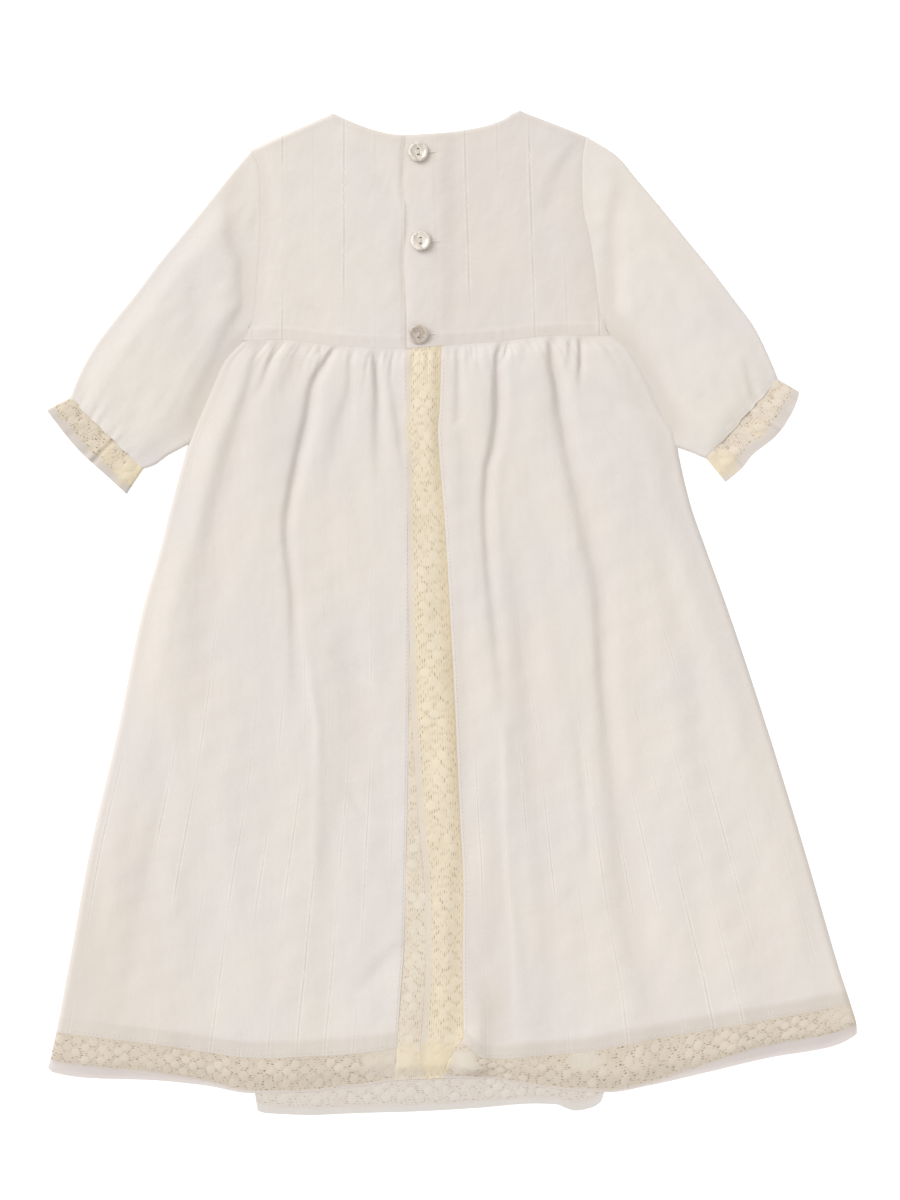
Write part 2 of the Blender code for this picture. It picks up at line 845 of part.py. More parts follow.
def frill(name: str, seam: Sequence[Spot], edge: Sequence[Spot], phase: float) -> None:
    """Makes the lace frill at a sleeve's end, pressed flat, with its outer edge in waves."""
    run = np.cumsum([0, *[math.dist(a, b) for a, b in zip(edge, edge[1:])]])
    t = np.linspace(0, 1, 41)
    outline = [smooth(run / run[-1], [spot[i] for spot in edge])(t) for i in range(2)]
    chord = [edge[0][i] + t * (edge[-1][i] - edge[0][i]) for i in range(2)]
    steps = np.linspace(0, 1, 5)
    upper = np.array([np.add(seam[0], s * np.subtract(edge[0], seam[0])) for s in steps])
    lower = np.array([np.add(seam[1], s * np.subtract(edge[-1], seam[1])) for s in steps])
    bend = np.array([s * (outline[0] - chord[0] - (outline[1] - chord[1])) for s in steps])

    def puff(x: np.ndarray, y: np.ndarray, across: np.ndarray, along: float) -> np.ndarray:
        wave = 0.5 - 0.5 * np.cos(2 * math.pi * FRILL_WAVES * across + phase)
        return (0.3 + FRILL_HEIGHT * along * wave) * ramp(np.minimum(across, 1 - across) / 0.08)

    tube(name, *flat_tube_rings(upper, lower, bend, LACE_WALL, puff, 30), ECRU_LACE)


def shares_of(spots: Sequence[Spot], left: Line, right: Line, fewest: int) -> np.ndarray:
    """Returns column shares that pass through every spot, with steps no wider than an even spread."""
    x, y = np.array(spots, float).T
    at = np.clip((x - left(y)) / (right(y) - left(y)), 0, 1)
    at[0], at[-1] = 0, 1
    extra = [np.linspace(a, b, math.ceil((b - a) * fewest) + 1)[:-1] for a, b in zip(at, at[1:])]
    return np.concatenate([*extra, [1.0]])


def front_panels() -> None:
    """Makes the flat pieces that lie on the floor: bodice, skirt and hem lace."""
    peaks = stations((0, 0.24, 0.799, 1), (4, 12, 4))
    x, y = panel_places(evenly(armhole_left, armhole_right), top_line(FRONT_NECK), waist, peaks,
                        np.linspace(0, 1, 9))
    slab("front_bodice", x, y, np.zeros_like(x), CLOTH_WALL, CREAM_CLOTH)
    across = shares_of(FRONT_HEM, skirt_left, skirt_right, 14)
    x, y = panel_places(evenly(skirt_left, skirt_right), moved(waist, -SEAM_GAP), front_hem,
                        across, np.linspace(0, 1, 17))
    slab("front_skirt", x, y, np.zeros_like(x), CLOTH_WALL, CREAM_CLOTH)
    left, right = moved(skirt_left, FRONT_LACE_INSET), moved(skirt_right, -FRONT_LACE_INSET)
    across = np.union1d(shares_of(FRONT_HEM, left, right, 20), shares_of(FRONT_LACE_EDGE, left, right, 1))
    across = across[np.append(True, np.diff(across) > 0.002)]
    x, y = panel_places(evenly(left, right), moved(front_hem, -SEAM_GAP), edge_line(FRONT_LACE_EDGE),
                        across, np.linspace(0, 1, 4))
    slab("hem_lace_front", x, y, np.zeros_like(x), LACE_WALL, ECRU_LACE)


def back_bodice() -> None:
    """Makes the two halves of the back bodice, the right one lapped over the left one."""
    down = np.linspace(0, 1, 9)
    top = top_line(BACK_NECK)
    underlap = lambda y: np.full(np.shape(y), UNDERLAP_EDGE)
    placket = lambda y: np.full(np.shape(y), PLACKET_EDGE)
    x, y = panel_places(evenly(armhole_left, underlap), top, waist,
                        stations((0, 0.436, 1), (7, 9)), down)
    slab("back_bodice_left", x, y, BACK_REST + bodice_relief(x, y), CLOTH_WALL, CREAM_CLOTH)
    x, y = panel_places(evenly(placket, armhole_right), top, waist,
                        stations((0, 0.18, 0.28, 0.628, 1), (3, 4, 5, 6)), down)
    slab("back_bodice_right", x, y, BACK_REST + bodice_relief(x, y) + bodice_lap(x, y), CLOTH_WALL,
         CREAM_CLOTH)


def strip_places(left: Line, right: Line, top: Line, lace_edge: Line,
                 heights: np.ndarray) -> tuple[np.ndarray, np.ndarray]:
    """Returns x and y of an upright lace strip whose rows lie at the given heights."""
    across = np.linspace(0, 1, 6)
    x = np.array([evenly(left, right)(np.full(6, height), across) for height in heights])
    y = np.repeat(heights[:, None], 6, axis=1)
    y[0], y[-1] = top(x[0]), lace_edge(x[-1])
    return x, y


def back_skirt() -> None:
    """Makes the two gathered halves of the back skirt with their hem and opening lace."""
    down, hem_down = stations((0, 0.03, 0.12, 0.4, 1), (2, 4, 6, 8)), np.linspace(0, 1, 4)
    top, lace_top = moved(waist, -SEAM_GAP), moved(back_hem, -SEAM_GAP)
    lace_edge = edge_line(BACK_LACE_EDGE)

    place = crowded(skirt_left, moved(left_strip_left, -SEAM_GAP))
    across = np.linspace(0, 1, 35)
    x, y = panel_places(place, top, back_hem, across, down)
    slab("back_skirt_left", x, y, BACK_REST + skirt_relief(x, y), CLOTH_WALL, CREAM_CLOTH)
    hem_x, hem_y = panel_places(place, lace_top, lace_edge, across, hem_down)
    slab("hem_lace_back_left", hem_x, hem_y, BACK_REST + skirt_relief(hem_x, hem_y), LACE_WALL,
         ECRU_LACE)
    x, y = strip_places(left_strip_left, left_strip_right, top, lace_edge,
                        np.concatenate([y[:, -1], hem_y[:, -1]]))
    slab("opening_lace_left", x, y, BACK_REST + skirt_relief(x, y), LACE_WALL, ECRU_LACE)

    place = crowded(moved(right_strip_right, SEAM_GAP), skirt_right)
    across = np.linspace(0, 1, 41)
    x, y = panel_places(place, top, back_hem, across, down)
    slab("back_skirt_right", x, y, BACK_REST + skirt_relief(x, y) + skirt_lap(x, y), CLOTH_WALL,
         CREAM_CLOTH)
    hem_x, hem_y = panel_places(place, lace_top, lace_edge, across, hem_down)
    slab("hem_lace_back_right", hem_x, hem_y,
         BACK_REST + skirt_relief(hem_x, hem_y) + skirt_lap(hem_x, hem_y), LACE_WALL, ECRU_LACE)
    x, y = strip_places(right_strip_left, right_strip_right, top, lace_edge,
                        np.concatenate([y[:, 0], hem_y[:, 0]]))
    slab("opening_lace_right", x, y, BACK_REST + skirt_relief(x, y) + skirt_lap(x, y), LACE_WALL,
         ECRU_LACE)


def button(name: str, centre: Spot) -> None:
    """Makes a two-hole button with a dished face, lying on the placket."""
    angles = np.linspace(0, 2 * math.pi, 24, endpoint=False)
    x = centre.x + BUTTON_RADIUS * np.cos(angles)
    y = np.minimum(centre.y + BUTTON_RADIUS * np.sin(angles), top_line(BACK_NECK)(x))
    ground = BACK_REST + CLOTH_WALL + float(np.max(bodice_relief(x, y) + bodice_lap(x, y)))
    profile = ((0, 0), (4.6, 0), (BUTTON_RADIUS, 0.7), (BUTTON_RADIUS, 1.2), (5.2, BUTTON_HEIGHT),
               (4.3, BUTTON_HEIGHT), (3.6, 1.55), (0, 1.5))
    mesh = bmesh.new()
    points = [mesh.verts.new((r, 0, z)) for r, z in profile]
    edges = [mesh.edges.new(pair) for pair in zip(points, points[1:])]
    bmesh.ops.spin(mesh, geom=points + edges, axis=(0, 0, 1), cent=(0, 0, 0), steps=BUTTON_SIDES,
                   angle=2 * math.pi)
    bmesh.ops.remove_doubles(mesh, verts=mesh.verts, dist=0.001)
    piece = add_object(name, mesh, PEARL, 0.25)
    piece.location = Vector((centre.x, centre.y, ground + LAYER_GAP)) * MM

    drill = bmesh.new()
    for side in (-1, 1):
        bmesh.ops.create_cone(drill, cap_ends=True, segments=10, radius1=BUTTON_HOLE_RADIUS,
                              radius2=BUTTON_HOLE_RADIUS, depth=8,
                              matrix=Matrix.Translation((0, side * BUTTON_HOLE_OFFSET, 0)))
    cutter = add_object(name + "_holes", drill, PEARL, 0.25)
    cutter.location = piece.location
    cutter.hide_render = True
    cutter.display_type = "WIRE"
    cut = piece.modifiers.new("Thread holes", "BOOLEAN")
    cut.operation = "DIFFERENCE"
    cut.solver = "EXACT"
    cut.object = cutter


def main() -> None:
    """Clears the scene and makes the dress."""
    for existing in list(bpy.data.objects):
        bpy.data.objects.remove(existing, do_unlink=True)
    front_panels()
    back_bodice()
    back_skirt()
    sleeve("sleeve_left", LEFT_SLEEVE, armhole_left, -0.5, LEFT_SLEEVE_FOLD)
    sleeve("sleeve_right", RIGHT_SLEEVE, armhole_right, 0.5, RIGHT_SLEEVE_FOLD)
    frill("cuff_lace_left", LEFT_FRILL_SEAM, LEFT_FRILL_EDGE, 0.6)
    frill("cuff_lace_right", RIGHT_FRILL_SEAM, RIGHT_FRILL_EDGE, 1.8)
    for name, centre in BUTTONS.items():
        button(name, centre)


main()
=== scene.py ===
"""The looks of a baby's long dress that lies flat on its front, with its buttoned back in view.

Tables and sizes are in millimetres in the frame of the solids: +X to the right, +Y towards the neck
and +Z up off the floor. A mesh is scaled to metres as it is made. The outlines and the large folds
repeat those of the solids, so that the thin cloth made here has their form.
"""

import logging
import math
from dataclasses import dataclass
from enum import Enum
from typing import Callable, NamedTuple, Sequence

import bpy
import numpy as np
from bpy.types import ID, Material, Mesh, Node, NodeSocket, NodeTree, Object
from mathutils import Matrix, Vector
from numpy import ndarray as Array

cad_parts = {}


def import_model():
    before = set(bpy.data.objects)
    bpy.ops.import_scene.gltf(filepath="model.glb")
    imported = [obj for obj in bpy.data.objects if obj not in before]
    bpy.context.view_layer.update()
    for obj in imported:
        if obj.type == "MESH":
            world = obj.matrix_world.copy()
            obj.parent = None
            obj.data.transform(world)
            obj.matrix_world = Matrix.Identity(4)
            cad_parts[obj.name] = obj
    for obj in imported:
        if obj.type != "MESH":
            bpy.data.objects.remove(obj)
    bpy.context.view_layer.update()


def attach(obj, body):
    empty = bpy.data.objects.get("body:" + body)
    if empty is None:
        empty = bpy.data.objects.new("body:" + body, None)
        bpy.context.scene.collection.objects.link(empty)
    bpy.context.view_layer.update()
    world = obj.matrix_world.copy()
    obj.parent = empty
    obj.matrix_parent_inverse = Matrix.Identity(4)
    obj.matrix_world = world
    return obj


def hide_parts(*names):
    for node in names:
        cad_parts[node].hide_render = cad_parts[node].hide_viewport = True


logger = logging.getLogger("baby_dress")

MM = 0.001

# The solids' walls and clearances
CLOTH_WALL = 1.4
LACE_WALL = 1.2
SEAM_GAP = 0.3
LAYER_GAP = 0.3
BACK_REST = CLOTH_WALL + LAYER_GAP
BACK_FACE = BACK_REST + CLOTH_WALL
LAP_RISE = 0.9
LAP_RAMP = 10.0
BODICE_LIFT = 0.8
SLEEVE_LIFT = 2.4
SIDE_RAMP = 20.0
ARMHOLE_RAMP = 15.0
SEAM_RAMP = 6.0
FRONT_LACE_INSET = 2.0
SLEEVE_FOLD_RADIUS = 2.0
CUFF_GATHER_HEIGHT = 0.55

# The thin cloth that stands for those walls
CLOTH_SHEET = 0.5
LACE_SHEET = 0.4
FLOOR_LEVEL = 0.9
TUCK = 2.5
LACE_TUCK = 1.6

# Where the back's lace comes to rest on the front's, and how fully it does
LACE_REST = 1.15
LACE_SETTLED = 0.97

# Centre back closure
UNDERLAP_EDGE = -9.0

# The cloth's woven stripes and the lace's pattern
STRIPE_PITCH = 17.5
LACE_WIDTH = 22.0
DOT_PITCH = 9.7
DOT_ROW = 3.55
DOT_RADIUS = 2.65
FIRST_DOT_ROW = 3.6
SLIT_PITCH = 2.7
SLIT_ROW = 1.25


class Side(Enum):
    """Which half of the dress, as seen by someone who looks down at its back."""

    LEFT = "left"
    RIGHT = "right"


class Held(Enum):
    """How a sheet of cloth is held."""

    GATHERED = "gathered"
    LAID = "laid"


class Slot(Enum):
    """What a piece is made of."""

    CLOTH = "cotton_cloth"
    LACE = "cotton_lace"
    PEARL = "pearl_button"


SHEET_WALLS = {Slot.CLOTH: CLOTH_SHEET, Slot.LACE: LACE_SHEET}


class Sides(NamedTuple):
    """Both side edges of a panel at one height."""

    y: float
    left: float
    right: float


class Spot(NamedTuple):
    """One point of an edge seen from above."""

    x: float
    y: float


Row = tuple[float, ...]


def table(kind: type, *rows: Row) -> tuple:
    """Returns the rows, each as one of this kind."""
    return tuple(kind(*row) for row in rows)


SKIRT_SIDES = table(
    Sides,
    (158, -118, 91), (155, -119.5, 95), (150, -124, 101), (143, -130, 105.5), (130, -136, 112),
    (115, -142.5, 119), (101, -149, 127), (89.5, -152.5, 129), (62, -160, 135.5), (36, -166.5, 144.5),
    (1.5, -176.5, 157), (-66.5, -190.5, 179.5), (-135, -206.5, 200.5), (-203.5, -219, 220.5),
    (-222, -222.5, 226.5), (-238, -225.5, 230.5), (-260, -230.5, 230.5),
)

ARMHOLES = table(
    Sides,
    (271, -114.5, 77), (264, -114.5, 75.5), (255.5, -111, 74.7), (245.5, -109.5, 74.5),
    (231.5, -109.5, 75), (213, -109.5, 79), (193, -111, 82), (178.5, -112, 83.5), (161.5, -115.5, 87.5),
    (155, -119.5, 91),
)

SHOULDER_LEFT = Spot(-114.5, 264)
NECK_LEFT = Spot(-68.5, 284.5)
NECK_RIGHT = Spot(38.5, 286)
SHOULDER_RIGHT = Spot(77, 271)

BACK_NECK = table(
    Spot,
    NECK_LEFT, (-62, 281.5), (-52.5, 277.5), (-43.5, 274.5), (-34.5, 272.5), (-27.5, 272), (-7, 273),
    (11, 275.5), (20, 277.5), (29.5, 281), (34, 284), NECK_RIGHT,
)

FRONT_NECK = table(
    Spot,
    NECK_LEFT, (-60, 266), (-48, 252), (-32, 243), (-15, 240.5), (2, 243), (18, 252), (30, 267),
    NECK_RIGHT,
)

WAIST = table(
    Spot,
    (-119.5, 155), (-98.5, 155.5), (-64, 152), (-27.5, 150.5), (-7, 152), (27, 154.5), (61.5, 158),
    (91, 158),
)

BACK_HEM = table(
    Spot,
    (-225.5, -238.5), (-200.5, -241.5), (-166.5, -245.5), (-144.5, -249), (-111.5, -253), (-68, -251.5),
    (-33, -247.5), (-18, -244), (1.5, -243.5), (6.5, -245), (17.5, -253), (30.5, -253.5), (48, -252),
    (74, -250), (97, -245.5), (131, -239.5), (174.5, -232), (226.5, -222.5),
)

BACK_LACE_EDGE = table(
    Spot,
    (-230.5, -259), (-228, -261.5), (-205.5, -265), (-173.5, -266), (-141.5, -269), (-114.5, -273.5),
    (-87, -273), (-52.5, -269.5), (-30, -266), (-1.5, -265), (18.5, -265), (50.5, -270), (68, -272),
    (88.5, -273), (112.5, -269), (145.5, -261.5), (182, -253), (209.5, -248.5), (219, -246),
    (228.3, -241.4), (230.5, -239.6),
)

FRONT_HEM = table(
    Spot,
    (-225.5, -235.5), (-173.5, -243.5), (-113, -256), (-87, -262), (13.5, -260.5), (61.5, -258),
    (87.5, -252.5), (145.5, -239.5), (226.5, -219.5),
)

FRONT_LACE_EDGE = table(
    Spot,
    (-228.5, -256), (-205.5, -263), (-173.5, -264), (-141.5, -267), (-113, -271), (-111, -283.5),
    (-105, -285), (-81, -286), (-55, -285), (-21, -284), (13.5, -282), (47.5, -279.5), (59.5, -280),
    (64.5, -282), (70, -283.5), (78.5, -282), (84.5, -278.5), (87.5, -271), (112.5, -267),
    (145.5, -259.5), (182, -251), (209.5, -246), (228.5, -238),
)

# The free edge of the buttonhole half, which curls a little between its buttons
PLACKET = table(
    Spot,
    (-26.5, 273), (-27, 268), (-27.9, 252.5), (-28.2, 241), (-25.9, 228.5), (-25.6, 221),
    (-26.7, 212.5), (-28, 202.5), (-27.2, 187), (-26.5, 166), (-26.5, 150),
)

# The right lace strip lies over the left one, which comes into sight lower down.
RIGHT_STRIP = table(
    Sides,
    (152, -26.5, -6.5), (117, -26.5, -7.5), (103.5, -28, -8.5), (93.5, -26, -8), (50, -25.5, -4.5),
    (7.5, -25, -2), (-49.5, -23.5, 1), (-106.5, -20, 3.5), (-163.5, -15.5, 6), (-192, -15, 5.5),
    (-241, -17.5, 6), (-247.5, -18, 1.5), (-256, -18, -3.5), (-265.5, -18, -7),
)

LEFT_STRIP = table(
    Sides,
    (151, -25.5, -6.5), (64.5, -24, -3.5), (-84, -25, -2.5), (-135, -26, -3.5), (-192, -27.5, -6),
    (-220.5, -29.5, -7), (-243.5, -31, -9), (-266, -31.5, -9.5),
)

# Sections of each sleeve, from armhole to cuff: x and y of the upper fold, then of the lower one
LEFT_SLEEVE = (
    (-115.5, 264.2, -120.5, 156.2), (-127, 250.3, -128.7, 151), (-138, 235.7, -136.3, 143.4),
    (-152.5, 217.2, -141.8, 131), (-167.5, 199, -147, 118), (-181.5, 180.5, -151, 107),
    (-196, 162.5, -154.5, 97.5), (-205.5, 149, -162.5, 89.5), (-212.5, 136, -170, 84),
    (-218, 122.5, -176, 82),
)

RIGHT_SLEEVE = (
    (78, 271.2, 92, 159.2), (94.5, 260.5, 102, 151.5), (106, 246.5, 109.3, 143.4),
    (119, 230.5, 115.8, 130.2), (133, 213, 121.8, 116), (147, 196, 129, 102), (161, 177.5, 133, 94.5),
    (172, 162.5, 137.5, 91), (181, 144, 141.5, 89), (185.5, 133, 144.5, 88),
)

LEFT_FRILL_SEAM = (Spot(-218.4, 122.2), Spot(-176.3, 81.5))
LEFT_FRILL_EDGE = table(
    Spot,
    (-231, 115.5), (-222.8, 105), (-214.7, 95), (-206.6, 86.6), (-197, 78.2), (-185.5, 67.8),
)

RIGHT_FRILL_SEAM = (Spot(186, 132.7), Spot(144.9, 87.5))
RIGHT_FRILL_EDGE = table(
    Spot,
    (197.5, 126), (194, 117), (181, 97), (170, 89), (163.5, 81), (155.5, 74.5),
)

# A crease has rows of y, x, how far it sinks and half its width. A ridge sinks less than nothing.
# These are the large folds of the back skirt, which the solids have too.
FOLDS = {
    "outer left": (
        (153.5, -109.5, 1.8, 3), (137, -113, 2, 4), (111.5, -120, 2.1, 5.2), (81.5, -128.5, 2, 6.5),
        (47.5, -136, 1.8, 7.5), (7.5, -141.5, 1.3, 8), (-44, -145, 0.8, 9), (-89.5, -155.5, 0, 10),
    ),
    "short left": (
        (154.5, -99, 1.8, 2), (144, -103, 1.6, 2.5), (130, -108, 1.2, 3), (120.5, -112, 0, 3),
    ),
    "soft left": (
        (153.5, -86.5, 1.2, 3.5), (141.5, -89, 1.4, 5), (128, -94, 1, 6), (110, -96, 0, 7),
    ),
    "deep left": (
        (151, -67, 2.2, 1.8), (144, -71.5, 2.4, 2.4), (130, -79, 3, 3), (110, -82.5, 3.2, 3.2),
        (81.5, -89, 2.8, 3), (47.5, -94, 2.2, 3), (7.5, -90.5, 1.6, 3), (-44, -89, 0.5, 4),
        (-66.5, -88.5, 0, 5),
    ),
    "slanting left": (
        (149, -57.5, 0.8, 1.8), (130, -58, 1.2, 3), (98.5, -65.5, 1.2, 6), (64.5, -68, 0.8, 9),
        (30, -67, 0, 10),
    ),
    "low left": (
        (7.5, -62.5, 0, 8), (-22, -61.5, 1, 9), (-44, -57.5, 1.5, 10), (-84, -58.5, 1.3, 9),
        (-129.5, -66.5, 1, 12), (-175, -67, 0, 12),
    ),
    "inner left": (
        (149, -44.5, 1.6, 1.8), (141, -43.5, 2.6, 2.4), (130, -42.5, 2.4, 2.4), (98.5, -42, 1.5, 3.5),
        (70, -41.5, 0, 4),
    ),
    "beside the opening": (
        (150, -35.5, 0.8, 3), (133, -33.5, 0.9, 4), (115.5, -31.5, 1.2, 3), (98.5, -29.5, 1, 2.5),
        (81.5, -27.5, 0, 3),
    ),
    "beside the lace": (
        (151, -7, 0.8, 4), (104.5, -7.5, 1.5, 5), (47.5, -5.5, 1.7, 6), (7.5, -3, 1.6, 7),
        (-49.5, 0.5, 1.3, 8), (-106.5, 3, 1.3, 8), (-163.5, 6, 1.7, 8), (-220.5, 6, 1.3, 8),
        (-246, 6, 0, 6),
    ),
    "short inner": (
        (150, 3, 0.8, 1.6), (133, 3.5, 0.9, 2), (111.5, 3, 0.6, 2.4), (102.5, -2, 0, 2),
    ),
    "deep inner": (
        (153.5, 27.5, 1.8, 1.8), (143.5, 25.5, 2.6, 2.2), (117, 26, 3.4, 3.2), (95, 23.5, 3, 3.2),
        (80.5, 20, 2.4, 2.8), (60, 19, 2, 2.8), (43.5, 19.5, 1.8, 2.8), (7.5, 22.5, 1.4, 3),
        (-32, 26.5, 0.8, 3), (-61, 29, 0, 3),
    ),
    "broad middle": (
        (153, 43, 0.8, 3), (138.5, 39.5, 0.4, 4), (64.5, 30.5, 0.6, 6), (30, 34.5, 1.2, 7),
        (7.5, 38, 1.6, 8), (-38, 43, 2, 8), (-84, 47, 1.8, 9), (-175, 54, 1.4, 8), (-249, 57.5, 0.6, 8),
    ),
    "deep outer": (
        (153, 56, 2, 2.4), (144, 56.5, 3, 2.8), (130, 59.5, 3.6, 3.2), (110, 62.5, 3.2, 4.2),
        (81.5, 68, 2.4, 4.5), (47.5, 76, 2.4, 5.5), (7.5, 84, 2.6, 5), (-38, 86, 2.6, 4.5),
        (-84, 90.5, 1.8, 5.5), (-129.5, 96.5, 1.4, 7), (-175, 100.5, 1.2, 8), (-215, 113.5, 1.2, 9),
        (-246, 118.5, 0.6, 9),
    ),
    "short outer": (
        (154.5, 67, 1.2, 1.5), (145.5, 66.5, 1, 1.8), (137.5, 66, 0, 2),
    ),
    "thin outer": (
        (157, 72.5, 1.6, 1.4), (144, 73, 1.8, 1.6), (133, 72.5, 0.8, 2), (126, 72.5, 0, 2),
    ),
    "slanting right": (
        (137.5, 74.5, 0.8, 5), (129, 78.5, 1, 6), (120.5, 92, 1, 7), (111, 107, 0, 8),
    ),
    "low right": (
        (-163.5, 175.5, 0, 12), (-215, 186.5, 1, 12), (-240.5, 192.5, 0.6, 10),
    ),
    "turned hem": (
        (-234, 12, 0, 6), (-245, 10, -1.6, 6), (-256, 9, -1.9, 7), (-266, 8, -0.8, 7),
    ),
    "behind the turned hem": (
        (-236, 18, 0, 4), (-247, 22, 1.4, 4.5), (-257, 24, 1.8, 5), (-268, 28, 0.8, 5),
    ),
}

# Small creases and ridges of the back skirt, which only the thin cloth has
CREASES = {
    "beside the deep left fold": (
        (156, -75, 0.7, 1.1), (150, -75, 1, 1.3), (145, -75.5, 0, 1.6),
    ),
    "right of the lace": (
        (152, 11, 0.8, 1.2), (147, 11.2, 0.9, 1.4), (142, 11.5, 0, 1.8),
    ),
    "fork of the deep inner fold": (
        (154, 31.5, 1.2, 1.2), (148, 30.5, 1.2, 1.4), (142, 28, 0.3, 1.8), (139, 27, 0, 1.8),
    ),
    "bright left ridge": (
        (-20, -82, 0, 2.5), (-35, -81, -0.5, 2.5), (-68, -76.7, -0.6, 2.6), (-110, -77, -0.45, 3),
        (-140, -77.8, -0.45, 3), (-165, -78.5, 0, 3),
    ),
    "bright inner ridge": (
        (-55, 29.5, 0, 2.5), (-77, 29.9, -0.55, 2.5), (-133, 31.6, -0.55, 3), (-199, 36.8, -0.45, 3),
        (-235, 39, 0, 3),
    ),
    "slanting short": (
        (-20, -69, 0, 2.6), (-24, -66.5, 0.6, 3), (-33, -56, 0.8, 4), (-39, -49.5, 0.5, 4),
        (-42, -46, 0, 4),
    ),
    "end of the low fold": (
        (-96, -58.5, 0, 3), (-104, -57, 0.6, 3), (-112, -52, 0.8, 3.4), (-118, -48, 0.5, 3.6),
        (-122, -45, 0, 3.6),
    ),
    "hollow low left": (
        (-133, -164, 0, 6), (-142, -158.5, 0.7, 6.5), (-152, -150, 0.9, 7.5), (-160, -143.5, 0.5, 7),
        (-167, -139, 0, 6),
    ),
    "far left": (
        (-90, -160, 0, 6), (-129, -168, 0.7, 6), (-180, -178, 0.5, 7), (-215, -185, 0, 7),
    ),
    "slanting to the lace": (
        (-186, -27.5, 0, 5), (-192, -32, 0.8, 6), (-203, -41, 0.9, 7), (-212, -48.5, 0.6, 7),
        (-219, -54, 0, 6),
    ),
    "right of the lace, low": (
        (-184, 3, 0, 3), (-192, 6.5, 1, 3.8), (-206, 15.7, 1.3, 4.6), (-220, 19, 1.3, 4.4),
        (-232, 21.4, 1, 4), (-241, 21.5, 0.3, 4), (-246, 21.5, 0, 4),
    ),
    "second right of the lace": (
        (-197, 3, 0, 2.4), (-203, 6.5, 0.8, 2.6), (-212, 14, 0.6, 3), (-217, 17, 0, 3),
    ),
    "outer trough": (
        (-60, 71, 0, 3), (-84, 73.2, 0.5, 3), (-129, 77.2, 0.5, 3.6), (-160, 80, 0, 4),
    ),
    "right side hollow": (
        (60, 112, 0, 7), (10, 128, 0.7, 9), (-60, 146, 0.6, 10), (-130, 160, 0, 10),
    ),
}

BODICE_HOLLOWS = {
    "from the right armhole": (
        (268, 71, 0.2, 3), (255, 63.5, 0.8, 5), (237, 57, 0.7, 5.5), (222, 54, 0, 5),
    ),
    "ridge from the right armhole": (
        (264, 60, 0, 4), (254, 56, -0.35, 4.5), (240, 50, -0.25, 5), (230, 48, 0, 5),
    ),
    "below the left neck": (
        (266, -56, 0, 4), (258, -48.5, 0.45, 5), (248, -41, 0.55, 5), (239, -34, 0.45, 4.5),
        (230, -30, 0, 4),
    ),
    "above the left waist": (
        (175, -80, 0, 3), (170, -76, 0.55, 3.4), (163, -68, 0.65, 3.6), (158, -62, 0, 3),
    ),
    "along the placket": (
        (226, -29.5, 0, 3), (206, -30, 0.5, 4), (190, -30, 0.6, 4), (172, -29, 0.2, 3),
        (165, -29, 0, 3),
    ),
    "right chest": (
        (262, 12, 0, 9), (235, 18, 0.2, 12), (190, 30, 0.2, 13), (168, 34, 0, 12),
    ),
}

LEFT_SLEEVE_FOLDS = (
    (
        (260, -118, 0, 3), (250, -121.5, 0.7, 4), (231, -126, 1.1, 5), (214, -125, 1.1, 5),
        (196, -118.5, 1.2, 4.6), (178, -118, 1.1, 4.4), (160, -126.5, 1, 5), (144, -132.5, 0.9, 5.5),
        (126, -142, 0.6, 5.5), (106, -151, 0, 5),
    ),
    (
        (196, -150, 0, 5), (182, -146, 0.4, 6), (160, -147, 0.4, 6), (140, -152, 0, 6),
    ),
)

RIGHT_SLEEVE_FOLDS = (
    (
        (256, 94, 0, 4), (245, 95, 0.7, 4.6), (218, 91.5, 1.2, 5), (197, 89.8, 1.3, 5),
        (174, 88, 1.3, 5), (160, 100, 1.2, 5.5), (144, 112, 1.2, 6), (126, 118.5, 1, 6),
        (106, 127.5, 0.6, 6), (96, 132, 0, 5),
    ),
    (
        (146, 166, 0, 2.4), (139, 167.5, 0.6, 2.4), (124, 170.7, 0.7, 2.6), (116, 172, 0, 2.6),
    ),
)

# Where a buttonhole pulls the placket into a small crease
PINCHES = (Spot(-11.5, 261.2), Spot(-10.0, 210.0), Spot(-11.5, 157.6))

# Soft round places on the lace, as x, y, reach across, reach along and strength: those where it
# lies double, and those where it is too crumpled for its pattern to show
WARM_PATCHES = (
    (-10, -253, 10, 10, 1), (-26, -252, 6, 9, 0.7), (-183, 80, 9, 8, 0.9), (-196.5, 91, 4, 8, 0.5),
    (153.6, 84.4, 9, 8, 0.9), (173.5, 105, 5, 6, 0.5),
)
PLAIN_PATCHES = (
    (6.3, -255.4, 8, 6.5, 1), (76, -254.5, 9, 6, 0.9), (-38, -256, 13, 8, 0.75), (222, -229, 9, 6, 0.6),
)

Line = Callable[[Array], Array]


